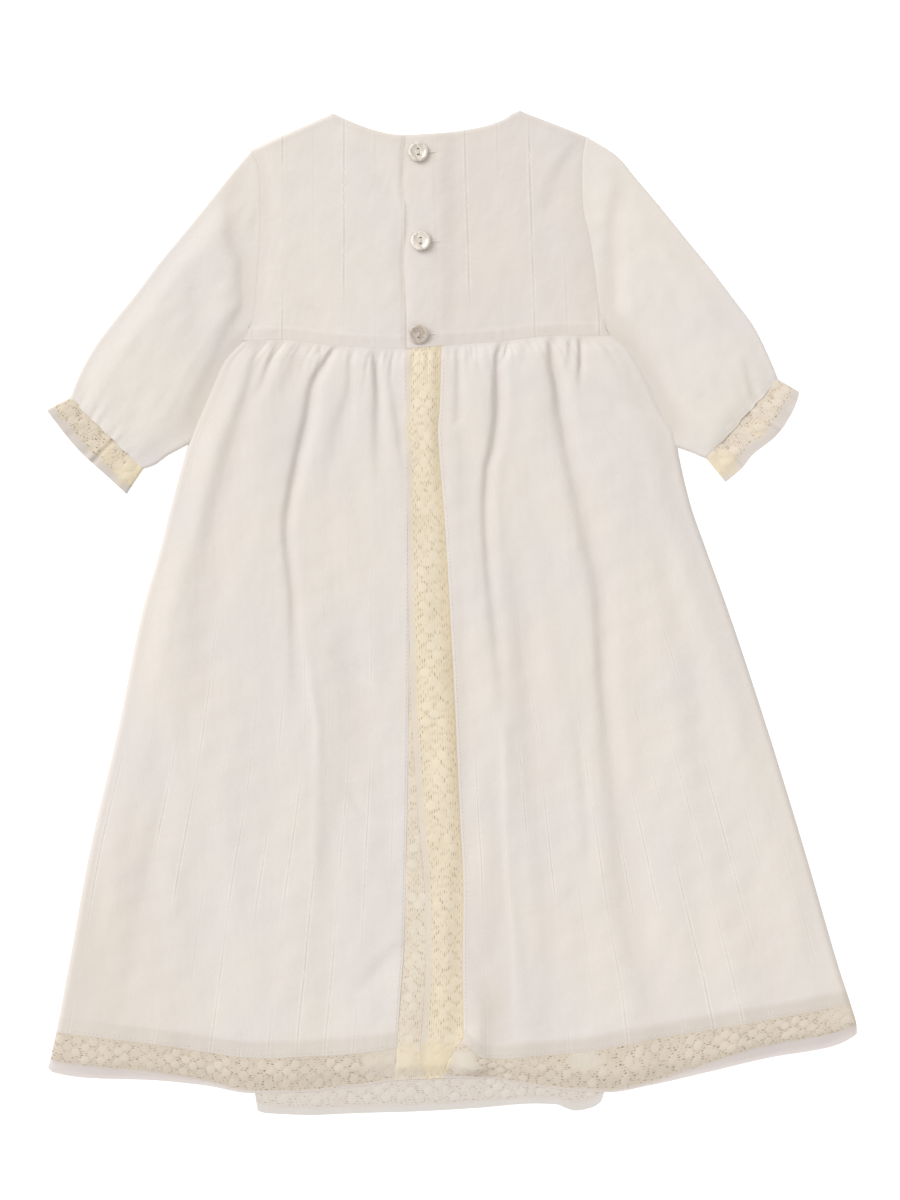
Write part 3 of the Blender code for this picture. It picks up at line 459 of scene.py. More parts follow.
def smooth(keys: Sequence[float], values: Sequence[float]) -> Line:
    """Makes a curve through the values that adds no bumps of its own between them.

    Args:
        keys: Where each value is met.
        values: The values.

    Returns:
        The curve, which keeps its end values beyond the ends.
    """
    order = np.argsort(keys)
    at = np.asarray(keys, float)[order]
    value = np.asarray(values, float)[order]
    step = np.diff(at)
    slope = np.diff(value) / step
    tangent = np.zeros(len(at))
    tangent[0], tangent[-1] = slope[0], slope[-1]
    before, after = slope[:-1], slope[1:]
    same_way = before * after > 0
    tangent[1:-1][same_way] = (2 * before * after)[same_way] / (before + after)[same_way]

    def curve(wanted: Array) -> Array:
        """Reads the curve.

        Args:
            wanted: The places.

        Returns:
            Its value at each of them.
        """
        place = np.clip(wanted, at[0], at[-1])
        i = np.clip(np.searchsorted(at, place) - 1, 0, len(step) - 1)
        t = (place - at[i]) / step[i]
        rise = value[i + 1] - value[i]
        start, end = tangent[i] * step[i], tangent[i + 1] * step[i]
        return value[i] + t * (start + t * (3 * rise - 2 * start - end + t * (start + end - 2 * rise)))

    return curve


def ramp(share: Array) -> Array:
    """Rises softly from 0 to 1 as share does."""
    t = np.clip(share, 0, 1)
    return t * t * (3 - 2 * t)


def bell(off: Array, reach: Array) -> Array:
    """Falls from 1 in the middle to nearly 0 at twice the reach."""
    return np.exp(-((off / reach) ** 2))


def rolled(inside: Array, reach: float, fall: float) -> Array:
    """Finds how far cloth bends down towards an edge.

    Args:
        inside: Distance from the edge.
        reach: Distance at which the bend starts.
        fall: How far the very edge lies below the rest.

    Returns:
        How far each place lies below the rest.
    """
    t = np.clip(inside / reach, 0, 1)
    return fall * (1 - np.sqrt(1 - (1 - t) ** 2))


def eased(inside: Array, reach: float, fall: float) -> Array:
    """Returns how far cloth dips towards a seam, softly at both ends."""
    return fall * (1 - ramp(inside / reach))


def sits_under(inside: Array, depth: float) -> Array:
    """Returns how far a sheet's edge is tucked down beneath its neighbour's, which ends at 0."""
    return depth * ramp(1 - inside / 1.4)


def drawn_to(z: Array, level: Array, away: Array, reach: float) -> Array:
    """Returns heights that meet a level where they are no way off, and are free beyond reach."""
    return z + (level - z) * (1 - ramp(away / reach))


def edge_line(spots: Sequence[Spot]) -> Line:
    """Returns y as a curve of x through the spots."""
    return smooth([spot.x for spot in spots], [spot.y for spot in spots])


def straight_line(spots: Sequence[Spot]) -> Line:
    """Returns y along the straight stretches between the spots."""
    return lambda x: np.interp(x, [spot.x for spot in spots], [spot.y for spot in spots])


def side_lines(rows: Sequence[Sides]) -> tuple[Line, Line]:
    """Returns the left and the right edge, each as x along y."""
    heights = [row.y for row in rows]
    return smooth(heights, [row.left for row in rows]), smooth(heights, [row.right for row in rows])


def moved(line: Line, distance: float) -> Line:
    """Returns the line shifted by a distance."""
    return lambda at: line(at) + distance


def top_line(neck: Sequence[Spot]) -> Line:
    """Makes the upper edge of a bodice.

    Args:
        neck: The neck curve.

    Returns:
        The edge, with a straight shoulder on each side of the neck.
    """
    curve = edge_line(neck)
    shoulders = straight_line((SHOULDER_LEFT, NECK_LEFT, NECK_RIGHT, SHOULDER_RIGHT))
    return lambda x: np.where((x > NECK_LEFT.x) & (x < NECK_RIGHT.x), curve(x), shoulders(x))


def ripples(x: Array, y: Array, size: float, seed: int) -> Array:
    """Makes soft uneven ripples.

    Args:
        x: Places across.
        y: Places along.
        size: About how long a ripple is.
        seed: Which ripples.

    Returns:
        Heights of about -1 to 1.
    """
    draw = np.random.default_rng(seed)
    waves = 14
    turns = draw.uniform(0, math.tau, waves)
    starts = draw.uniform(0, math.tau, waves)
    lengths = size * draw.uniform(0.6, 1.7, waves)
    total = sum(
        np.sin(math.tau / length * (x * math.cos(turn) + y * math.sin(turn)) + start)
        for turn, start, length in zip(turns, starts, lengths)
    )
    return total / math.sqrt(waves)


waist = edge_line(WAIST)
placket_edge = smooth([spot.y for spot in PLACKET], [spot.x for spot in PLACKET])
back_top = top_line(BACK_NECK)
front_top = top_line(FRONT_NECK)
back_hem = edge_line(BACK_HEM)
front_hem = straight_line(FRONT_HEM)
back_lace_edge = edge_line(BACK_LACE_EDGE)
front_lace_edge = edge_line(FRONT_LACE_EDGE)
skirt_left, skirt_right = side_lines(SKIRT_SIDES)
armhole_left, armhole_right = side_lines(ARMHOLES)
right_strip_left, right_strip_right = side_lines(RIGHT_STRIP)
left_strip_left, left_strip_right = side_lines(LEFT_STRIP)
# How far the skirt lifts at each distance below the waist seam
skirt_lift = smooth((0, 4, 10, 30, 80, 160, 260, 380, 430), (0.8, 2.0, 3.0, 3.4, 3.0, 2.6, 2.0, 1.2, 0.7))
# The back lace's sheer border narrows towards the middle, where the pattern takes the whole width.
lace_cover = smooth((-231, -190, -140, -100, 100, 140, 180, 231),
                    (1.17, 1.12, 0.95, 0.86, 0.86, 1.0, 1.22, 1.25))


class Crease:
    """A soft trough in the cloth, read from its table. Its left wall is the steeper one."""

    STEEP_SIDE = 0.92
    GENTLE_SIDE = 1.45

    def __init__(self, rows: Sequence[Row]) -> None:
        """Reads the table."""
        heights, *columns = zip(*rows)
        self.centre, self.drop, self.width = (smooth(heights, column) for column in columns)

    def depth(self, x: Array, y: Array) -> Array:
        """Returns how far it sinks the cloth at each place."""
        off = x - self.centre(y)
        reach = self.width(y) * np.where(off < 0, self.STEEP_SIDE, self.GENTLE_SIDE)
        return self.drop(y) * bell(off, reach)

    def crowding(self, x: Array, y: Array) -> Array:
        """Returns how much more cloth lies where it runs."""
        reach = 2.0 * self.width(y)
        return np.abs(self.drop(y)) / reach * bell(x - self.centre(y), reach)


class Pucker(NamedTuple):
    """A small gather at the waist seam: its place across, depth, half width and length."""

    share: float
    drop: float
    width: float
    length: float


@dataclass(frozen=True)
class Gathers:
    """The small gathers between the large folds, at uneven distances along the waist seam."""

    seed: int = 7
    nearest: float = 0.014
    furthest: float = 0.034

    def table(self) -> list[Pucker]:
        """Draws the gathers from left to right.

        Returns:
            Every small gather.
        """
        draw = np.random.default_rng(self.seed)
        made, share = [], 0.02
        while share < 0.98:
            made.append(Pucker(share, draw.uniform(0.2, 0.75), draw.uniform(0.6, 1.1), draw.uniform(9, 38)))
            share += draw.uniform(self.nearest, self.furthest)
        return made


class SkirtForm:
    """The lie of the back skirt: its lift, its folds and its gathers."""

    FOLD_GAIN = 0.78
    CHART_LEFT = -245.0
    CHART_FOOT = -292.0
    CHART_WIDTH = 492
    CHART_HEIGHT = 460
    SPREAD = 60

    def __init__(self) -> None:
        """Reads the tables."""
        self.folds = [Crease(rows) for rows in FOLDS.values()]
        self.creases = [Crease(rows) for rows in CREASES.values()]
        self.gathers = Gathers().table()
        x, y = np.meshgrid(self.CHART_LEFT + np.arange(self.CHART_WIDTH),
                           self.CHART_FOOT + np.arange(self.CHART_HEIGHT))
        self.chart = sum(crease.crowding(x, y) for crease in self.folds + self.creases)
        kernel = bell(np.arange(-self.SPREAD, self.SPREAD + 1), 24)
        padded = np.pad(sum(fold.crowding(x, y) for fold in self.folds),
                        ((self.SPREAD, self.SPREAD), (0, 0)), "edge")
        self.slow_chart = np.apply_along_axis(np.convolve, 0, padded, kernel / kernel.sum(), "valid")

    def read(self, chart: Array, x: Array, y: Array) -> Array:
        """Reads a chart that has one value a millimetre.

        Args:
            chart: The chart.
            x: Places across.
            y: Places along.

        Returns:
            Its values at these places.
        """
        across = np.clip(x - self.CHART_LEFT, 0, chart.shape[1] - 1.001)
        along = np.clip(y - self.CHART_FOOT, 0, chart.shape[0] - 1.001)
        i, j = along.astype(int), across.astype(int)
        s, t = along - i, across - j
        near = (1 - t) * chart[i, j] + t * chart[i, j + 1]
        far = (1 - t) * chart[i + 1, j] + t * chart[i + 1, j + 1]
        return (1 - s) * near + s * far

    def crowding(self, x: Array, y: Array) -> Array:
        """Returns how much more cloth lies at each place."""
        return self.read(self.chart, x, y)

    def spare(self, x: Array, y: Array) -> Array:
        """Returns the same for the stripes, spread softly along them."""
        return self.read(self.slow_chart, x, y)

    def puckers(self, x: Array, y: Array, below: Array) -> Array:
        """Finds how far the small gathers sink the cloth.

        Args:
            x: Places across.
            y: Places along.
            below: Their distances below the waist seam.

        Returns:
            The depth at each place.
        """
        left, right = skirt_left(y), skirt_right(y)
        sunk = np.zeros_like(x)
        for gather in self.gathers:
            centre = left + gather.share * (right - left)
            width = gather.width * (1 + below / 22)
            sunk += gather.drop * bell(x - centre, width) * (1 - ramp(below / gather.length))
        return sunk

    def folded(self, x: Array, y: Array) -> Array:
        """Returns how far each place lies in a large fold, of 0 to 1."""
        return np.clip(sum(fold.depth(x, y) for fold in self.folds) / 2.6, 0, 1)

    def height(self, x: Array, y: Array) -> Array:
        """Finds the lie of the cloth.

        Args:
            x: Places across.
            y: Places along.

        Returns:
            The height of the cloth above where it would rest flat.
        """
        below = np.maximum(waist(x) - y, 0)
        inside = np.minimum(x - skirt_left(y), skirt_right(y) - x)
        lift = skirt_lift(below) * ramp(inside / SIDE_RAMP)
        gathered = 0.3 + 0.7 * ramp(below / SEAM_RAMP)
        sunk = self.FOLD_GAIN * sum(fold.depth(x, y) for fold in self.folds)
        sunk = sunk + sum(crease.depth(x, y) for crease in self.creases)
        sunk = gathered * (sunk + self.puckers(x, y, below))
        calm = ramp(inside / 18) * ramp(below / 24)
        drift = 0.34 * ripples(x, y * 0.42, 42, 3) + 0.12 * ripples(x, y * 0.6, 17, 5)
        crinkle = 0.035 * ripples(x, y * 0.8, 6.5, 11)
        risen = lift - sunk + calm * drift + crinkle
        return (risen + np.sqrt(risen**2 + 0.16)) / 2 - 0.2

    def lap(self, x: Array, y: Array) -> Array:
        """Returns the extra height of the right half where it passes over the left lace strip."""
        return LAP_RISE * ramp((left_strip_right(y) + 1.5 + LAP_RAMP - x) / LAP_RAMP)


class BodiceForm:
    """The lie of the back bodice: its soft hollows, its seam allowance and its lap."""

    ALLOWANCE = 6.3

    def __init__(self) -> None:
        """Reads the table."""
        self.hollows = [Crease(rows) for rows in BODICE_HOLLOWS.values()]

    def height(self, x: Array, y: Array) -> Array:
        """Finds the lie of the cloth.

        Args:
            x: Places across.
            y: Places along.

        Returns:
            The height of the cloth above where it would rest flat.
        """
        inside = np.minimum(x - armhole_left(y), armhole_right(y) - x)
        above = y - waist(x)
        lift = BODICE_LIFT * ramp(inside / ARMHOLE_RAMP)
        turned_up = ramp((self.ALLOWANCE + 1.2 - above) / 1.2)
        bumps = 0.1 * ripples(x, y * 0.3, 6, 21) * turned_up
        sunk = sum(hollow.depth(x, y) for hollow in self.hollows)
        pulled = sum(0.55 * bell(y - spot.y, 0.8) * bell(x - spot.x, 4.5) for spot in PINCHES)
        calm = ramp(inside / 8) * ramp(above / 8)
        drift = 0.22 * ripples(x, y * 0.7, 34, 31) + 0.09 * ripples(x, y, 15, 33)
        crinkle = 0.03 * ripples(x, y, 6.5, 35)
        return lift + 0.28 * turned_up + bumps - sunk - pulled + calm * drift + crinkle

    def lap(self, x: Array) -> Array:
        """Returns the extra height of the right half where it passes over the left one."""
        return LAP_RISE * ramp((UNDERLAP_EDGE + 1.5 + LAP_RAMP - x) / LAP_RAMP)


skirt_form = SkirtForm()
bodice_form = BodiceForm()


def waist_level(x: Array, right_half: bool) -> Array:
    """Finds the height at which bodice and skirt meet.

    Args:
        x: Places along the seam.
        right_half: Whether they are those of the right half, which laps over the left one.

    Returns:
        The heights.
    """
    y = waist(x)
    inside = np.minimum(x - armhole_left(y), armhole_right(y) - x)
    level = BACK_FACE + (BODICE_LIFT + 0.22) * ramp(inside / ARMHOLE_RAMP)
    return level + (bodice_form.lap(x) if right_half else 0)


Spread = Callable[[Array, Array], Array]


def evenly(left: Line, right: Line) -> Spread:
    """Returns the rule that spreads a panel's columns evenly between its side edges."""
    return lambda y, share: left(y) + share * (right(y) - left(y))


def crowded(left: Line, right: Line) -> Spread:
    """Makes the rule that crowds a panel's columns where creases run.

    Args:
        left: The panel's left edge.
        right: The panel's right edge.

    Returns:
        The rule, which gives x for each height and share.
    """
    probe = np.linspace(0, 1, 241)

    def place(y: Array, share: Array) -> Array:
        """Places the columns.

        Args:
            y: Heights.
            share: Shares of the way across.

        Returns:
            x at each height and share.
        """
        x = left(y)[:, None] + probe * (right(y) - left(y))[:, None]
        rows = np.broadcast_to(y[:, None], x.shape)
        weight = 0.3 + skirt_form.crowding(x, rows)
        total = np.cumsum((weight[:, 1:] + weight[:, :-1]) / 2 * np.diff(x, axis=1), axis=1)
        total = np.concatenate([np.zeros((len(y), 1)), total], axis=1)
        return np.array([np.interp(s * run[-1], run, at) for s, run, at in zip(share, total, x)])

    return place


def stations(breaks: Sequence[float], counts: Sequence[int]) -> Array:
    """Returns even steps between each pair of breaks."""
    runs = [np.linspace(a, b, n, endpoint=False) for a, b, n in zip(breaks, breaks[1:], counts)]
    return np.concatenate([*runs, breaks[-1:]])


def panel_places(place: Spread, top: Line, bottom: Line, across: Array, down: Array) -> tuple[Array, Array]:
    """Lays out a panel's points in rows from its top edge to its bottom edge.

    Args:
        place: The rule that gives x for each height and share.
        top: The upper edge.
        bottom: The lower edge.
        across: Shares of the columns.
        down: Shares of the rows.

    Returns:
        x and y of every point.
    """

    def meet(edge: Line) -> Array:
        """Finds where the columns meet an edge.

        Args:
            edge: The edge.

        Returns:
            The height at which each column meets it.
        """
        x = place(np.full(len(across), edge(np.zeros(1))[0]), across)
        for _ in range(12):
            x = place(edge(x), across)
        return edge(x)

    upper, lower = meet(top), meet(bottom)
    y = upper + down[:, None] * (lower - upper)
    return np.array([place(row, across) for row in y]), y


def cloth_across(x: Array, y: Array, cut_width: float) -> Array:
    """Finds where each point of a gathered panel lies across its flat cut.

    Args:
        x: Points in rows, from the left edge to the right one.
        y: Their heights.
        cut_width: Width of the flat cut, all of which every row holds.

    Returns:
        Millimetres from the cut's left edge, with the spare cloth in the folds.
    """
    step = np.diff(x, axis=1)
    spare = skirt_form.spare(x, y) + 0.05
    spare = (spare[:, 1:] + spare[:, :-1]) / 2
    gain = (cut_width - step.sum(axis=1)) / (spare * step).sum(axis=1)
    run = np.cumsum(step * (1 + gain[:, None] * spare), axis=1)
    return np.concatenate([np.zeros((len(x), 1)), run], axis=1)


def link(name: str, data: ID) -> Object:
    """Returns a new object in the scene."""
    piece = bpy.data.objects.new(name, data)
    bpy.context.scene.collection.objects.link(piece)
    return piece


def new_mesh(name: str, points: object, faces: Sequence[Sequence[int]]) -> Mesh:
    """Returns a mesh of these points and faces."""
    data = bpy.data.meshes.new(name)
    data.from_pydata((np.asarray(points, float) * MM).tolist(), [], faces)
    return data


@dataclass
class Cloth:
    """A sheet's points in rows, from the top down and from left to right.

    u and v are places on the flat cut. A closed sheet is a tube: its last column joins its first,
    and u and v have one column more. doubled is the share of a darker tone: on cloth partly
    a second layer that shows through and partly painted shade in folds, along edges and beside other
    pieces; on lace it is where the lace lies double.
    """

    x: Array
    y: Array
    z: Array
    u: Array
    v: Array
    doubled: Array | None = None
    closed: bool = False
    dots: "Dots | None" = None

    def turned(self) -> "Cloth":
        """Turns a closed sheet's columns round.

        Returns:
            The sheet, which now faces out.
        """
        u = np.concatenate([self.u[:, -2::-1], self.u[:, -2:-1] - self.u[:, -1:]], axis=1)
        v = np.concatenate([self.v[:, -2::-1], self.v[:, -2:-1]], axis=1)
        dots = None if self.dots is None else self.dots.turned()
        x, y, z, doubled = (values[:, ::-1] for values in (self.x, self.y, self.z, self.doubled))
        return Cloth(x, y, z, u, v, doubled, True, dots)

    def build(self, name: str, wall: float) -> Object:
        """Makes the mesh, with its upper face where the points are.

        Args:
            name: The piece's name.
            wall: Thickness of the cloth.

        Returns:
            The piece.
        """
        rows, columns = self.x.shape
        points = np.stack([self.x, self.y, self.z], axis=-1).reshape(-1, 3)
        index = np.arange(rows * columns).reshape(rows, columns)
        if self.closed:
            index = np.concatenate([index, index[:, :1]], axis=1)
        data = new_mesh(name, points, self.corners(index).reshape(-1, 4).tolist())
        cut = np.stack([self.corners(self.u), self.corners(self.v)], axis=-1) * MM
        data.uv_layers.new(name="Cut").data.foreach_set("uv", cut.astype(np.float32).ravel())
        if self.doubled is not None:
            self.note(data, "doubled", self.doubled)
        if self.dots is not None:
            self.note(data, "dot_away", self.dots.away)
            self.note(data, "dot_strength", self.dots.strength)
            self.note(data, "plain", self.dots.plain)
        data.shade_smooth()
        self.crisp_rim(data)
        piece = link(name, data)
        thick = piece.modifiers.new("Cloth thickness", "SOLIDIFY")
        thick.thickness = wall * MM
        thick.offset = -1.0
        return piece

    @staticmethod
    def crisp_rim(data: Mesh) -> None:
        """Keeps the shading of a sheet's free edges from spreading over the cloth beside them.

        Args:
            data: The sheet's mesh.
        """
        uses = np.zeros(len(data.loops), np.int32)
        data.loops.foreach_get("edge_index", uses)
        rim = np.bincount(uses, minlength=len(data.edges)) == 1
        data.attributes.new("sharp_edge", "BOOLEAN", "EDGE").data.foreach_set("value", rim)

    @staticmethod
    def note(data: Mesh, label: str, values: Array) -> None:
        """Keeps one value a point in the mesh, for its finish."""
        layer = data.attributes.new(label, "FLOAT", "POINT")
        layer.data.foreach_set("value", values.astype(np.float32).ravel())

    @staticmethod
    def corners(values: Array) -> Array:
        """Returns the four corner values of each face."""
        return np.stack([values[:-1, :-1], values[1:, :-1], values[1:, 1:], values[:-1, 1:]], axis=-1)


class Value:
    """A shader value that adds up, multiplies and divides as a number does."""

    def __init__(self, nodes: "Nodes", socket: NodeSocket) -> None:
        """Keeps the socket that gives the value."""
        self.nodes, self.socket = nodes, socket

    def __add__(self, other: object) -> "Value":
        """Returns the sum."""
        return self.nodes.math("ADD", self, other)

    def __sub__(self, other: object) -> "Value":
        """Returns the difference."""
        return self.nodes.math("SUBTRACT", self, other)

    def __rsub__(self, other: object) -> "Value":
        """Returns the difference from a number."""
        return self.nodes.math("SUBTRACT", other, self)

    def __mul__(self, other: object) -> "Value":
        """Returns the product."""
        return self.nodes.math("MULTIPLY", self, other)

    def __truediv__(self, other: object) -> "Value":
        """Returns the quotient."""
        return self.nodes.math("DIVIDE", self, other)


class Nodes:
    """A shader node tree that is being filled."""

    def __init__(self, tree: NodeTree) -> None:
        """Keeps the tree."""
        self.tree = tree

    def add(self, kind: str, **settings: object) -> Node:
        """Adds a node.

        Args:
            kind: Its type.
            settings: Its own settings.

        Returns:
            The node.
        """
        node = self.tree.nodes.new(kind)
        for key, value in settings.items():
            setattr(node, key, value)
        return node

    def feed(self, socket: NodeSocket, value: object) -> None:
        """Links a value to an input, or sets the input.

        Args:
            socket: The input.
            value: The value, or a number or colour.
        """
        if isinstance(value, Value):
            self.tree.links.new(value.socket, socket)
        elif isinstance(value, tuple) and socket.type == "RGBA":
            socket.default_value = (*value, 1.0)
        else:
            socket.default_value = value

    def fed(self, node: Node, output: int | str, inputs: dict[int | str, object]) -> Value:
        """Feeds some of a node's inputs and returns one of its outputs."""
        for place, value in inputs.items():
            self.feed(node.inputs[place], value)
        return Value(self, node.outputs[output])

    def math(self, operation: str, *values: object) -> Value:
        """Returns the result of one sum."""
        return self.fed(self.add("ShaderNodeMath", operation=operation), 0, dict(enumerate(values)))

    def mix(self, share: object, first: object, second: object) -> Value:
        """Returns a colour between two colours."""
        return self.fed(self.add("ShaderNodeMix", data_type="RGBA"), 2, {0: share, 6: first, 7: second})

    def between(self, value: Value, low: float, high: float, start: object = 0.0, end: float = 1.0) -> Value:
        """Returns a soft step from start to end as value goes from low to high."""
        node = self.add("ShaderNodeMapRange", interpolation_type="SMOOTHSTEP")
        return self.fed(node, 0, dict(enumerate((value, low, high, start, end))))

    def vector(self, x: object, y: object, z: object = 0.0) -> Value:
        """Returns a vector of three values."""
        return self.fed(self.add("ShaderNodeCombineXYZ"), 0, {0: x, 1: y, 2: z})

    def parts(self, vector: Value) -> list[Value]:
        """Returns the three parts of a vector."""
        node = self.add("ShaderNodeSeparateXYZ")
        self.feed(node.inputs[0], vector)
        return [Value(self, output) for output in node.outputs]

    def noise(self, vector: Value, scale: float = 1.0, detail: float = 2.0, roughness: float = 0.5,
              output: int = 0) -> Value:
        """Returns cloudy noise of about 0 to 1, or as a colour from output 1."""
        given = {"Vector": vector, "Scale": scale, "Detail": detail, "Roughness": roughness}
        return self.fed(self.add("ShaderNodeTexNoise"), output, given)

    def chance(self, key: Value, kind: str = "1D") -> Value:
        """Returns an even chance of 0 to 1 that belongs to a number, or in 3D to a vector."""
        node = self.add("ShaderNodeTexWhiteNoise", noise_dimensions=kind)
        return self.fed(node, "Value", {"W" if kind == "1D" else "Vector": key})

    def hump(self, value: Value, middle: float, reach: float) -> Value:
        """Returns 1 where the value is at the middle, falling to 0 on both sides."""
        off = (value - middle) / reach
        return self.math("EXPONENT", off * off * -1.0)

    def kept(self, label: str) -> Value:
        """Returns the value that a mesh keeps at its points under this name."""
        return Value(self, self.add("ShaderNodeAttribute", attribute_name=label).outputs["Fac"])

    def cut(self) -> Value:
        """Returns the place on the flat cut."""
        return Value(self, self.add("ShaderNodeUVMap", uv_map="Cut").outputs[0])

    def place(self) -> Value:
        """Returns the place on the piece."""
        return Value(self, self.add("ShaderNodeTexCoord").outputs["Object"])

    def group(self, name: str, first: Value, **values: object) -> dict[str, Value]:
        """Places a group, which is made once for all materials.

        Args:
            name: The group's name.
            first: What its first input is fed.
            values: What its other inputs are fed or set to, where that isn't their own value.

        Returns:
            Its outputs by their names.
        """
        tree = bpy.data.node_groups.get(name) or GROUPS[name](name)
        node = self.add("ShaderNodeGroup", node_tree=tree)
        self.fed(node, 0, {0: first, **values})
        return {output.name: Value(self, output) for output in node.outputs}

    def bump(self, shader: Node, height: Value, strength: float, depth: float) -> None:
        """Feeds a height to the shader's normal."""
        given = {"Strength": strength, "Distance": depth * MM, "Height": height}
        self.feed(shader.inputs["Normal"], self.fed(self.add("ShaderNodeBump"), "Normal", given))

    def finished(self, **values: Value) -> NodeTree:
        """Gives a group its outputs.

        Args:
            values: What each output gives.

        Returns:
            The group.
        """
        for label in values:
            self.tree.interface.new_socket(name=label, in_out="OUTPUT", socket_type="NodeSocketFloat")
        out = self.add("NodeGroupOutput")
        for label, value in values.items():
            self.feed(out.inputs[label], value)
        return self.tree


def new_group(name: str, inputs: dict[str, float | None]) -> tuple[Nodes, dict[str, Value]]:
    """Starts a shader node group.

    Args:
        name: The group's name.
        inputs: The value of each input, or None for a vector.

    Returns:
        The tree to fill, and its inputs.
    """
    tree = bpy.data.node_groups.new(name, "ShaderNodeTree")
    for label, value in inputs.items():
        kind = "NodeSocketVector" if value is None else "NodeSocketFloat"
        socket = tree.interface.new_socket(name=label, in_out="INPUT", socket_type=kind)
        if value is not None:
            socket.default_value = value
    nodes = Nodes(tree)
    given = nodes.add("NodeGroupInput")
    return nodes, {label: Value(nodes, given.outputs[label]) for label in inputs}


def millimetres(nodes: Nodes, cut: Value) -> tuple[Value, Value]:
    """Returns a place on the flat cut in millimetres."""
    u, v, _ = nodes.parts(cut)
    return u * 1000.0, v * 1000.0


def stripe_group(name: str) -> NodeTree:
    """Makes the woven slub stripe: two bright threads with a thin gap that opens and closes.

    Args:
        name: The group's name.

    Returns:
        The group.
    """
    nodes, given = new_group(name, {"Cut": None, "Pitch": STRIPE_PITCH, "Wander": 0.9, "Even": 1.0,
                                    "Faint": 1.0})
    u, v = millimetres(nodes, given["Cut"])
    turn = u / given["Pitch"]
    number = nodes.math("ROUND", turn)
    own = number * 17.3
    lazy = nodes.noise(nodes.vector(own, v * 0.03))
    off = (turn - number) * given["Pitch"] + (lazy - 0.5) * given["Wander"]
    part = nodes.noise(nodes.vector(own + 5.0, v * 0.045))
    sway = nodes.math("SINE", v * 1.35) * 0.75
    off_gap = off + sway * nodes.between(part, 0.44, 0.4)
    strong = nodes.noise(nodes.vector(own + 9.0, v * 0.012), 1.0, 1.0)
    odd = nodes.math("ABSOLUTE", nodes.math("MODULO", number, 2.0))
    strong = nodes.between(strong, 0.4, 0.6, 0.1) * nodes.math("MAXIMUM", odd, given["Even"])
    luck = nodes.between(nodes.chance(number), 0.2, 0.7, given["Faint"])
    strong = strong * (luck * nodes.between(v, -60.0, 150.0, given["Faint"]))
    fleck = nodes.between(nodes.noise(nodes.vector(own, v * 0.5)), 0.32, 0.62, 0.35)
    thread = nodes.hump(nodes.math("ABSOLUTE", off), 1.0, 0.5) * strong * fleck
    gap = nodes.hump(off_gap, 0.0, 0.42) * strong * nodes.between(part, 0.36, 0.5, 0.35)
    return nodes.finished(Thread=thread, Gap=gap, Height=thread - gap)


def weave_group(name: str) -> NodeTree:
    """Makes the plain weave: fine uneven threads that run along and across.

    Args:
        name: The group's name.

    Returns:
        The group.
    """
    nodes, given = new_group(name, {"Cut": None, "Fineness": 2.4})
    u, v = millimetres(nodes, given["Cut"])
    along = nodes.noise(nodes.vector(u * given["Fineness"], v * 0.16), 1.0, 3.0)
    across = nodes.noise(nodes.vector(u * 0.16, v * given["Fineness"], 4.0), 1.0, 3.0)
    grid = nodes.math("SINE", u * 14.0) * nodes.math("SINE", v * 14.0) * 0.12
    shade = (along + across) * 0.5
    return nodes.finished(Shade=shade, Height=shade + grid)


def tone_group(name: str) -> NodeTree:
    """Makes the slow drift between a warmer and a cooler tone over the whole dress.

    Args:
        name: The group's name.

    Returns:
        The group.
    """
    nodes, given = new_group(name, {"Place": None, "Size": 14.0})
    scale = nodes.add("ShaderNodeVectorMath", operation="SCALE")
    place = nodes.fed(scale, 0, {0: given["Place"], "Scale": given["Size"]})
    warm = nodes.between(nodes.noise(place, 1.0, 3.0), 0.3, 0.7)
    return nodes.finished(Warm=warm, Crumple=nodes.noise(place, 7.0, 4.0, 0.62))


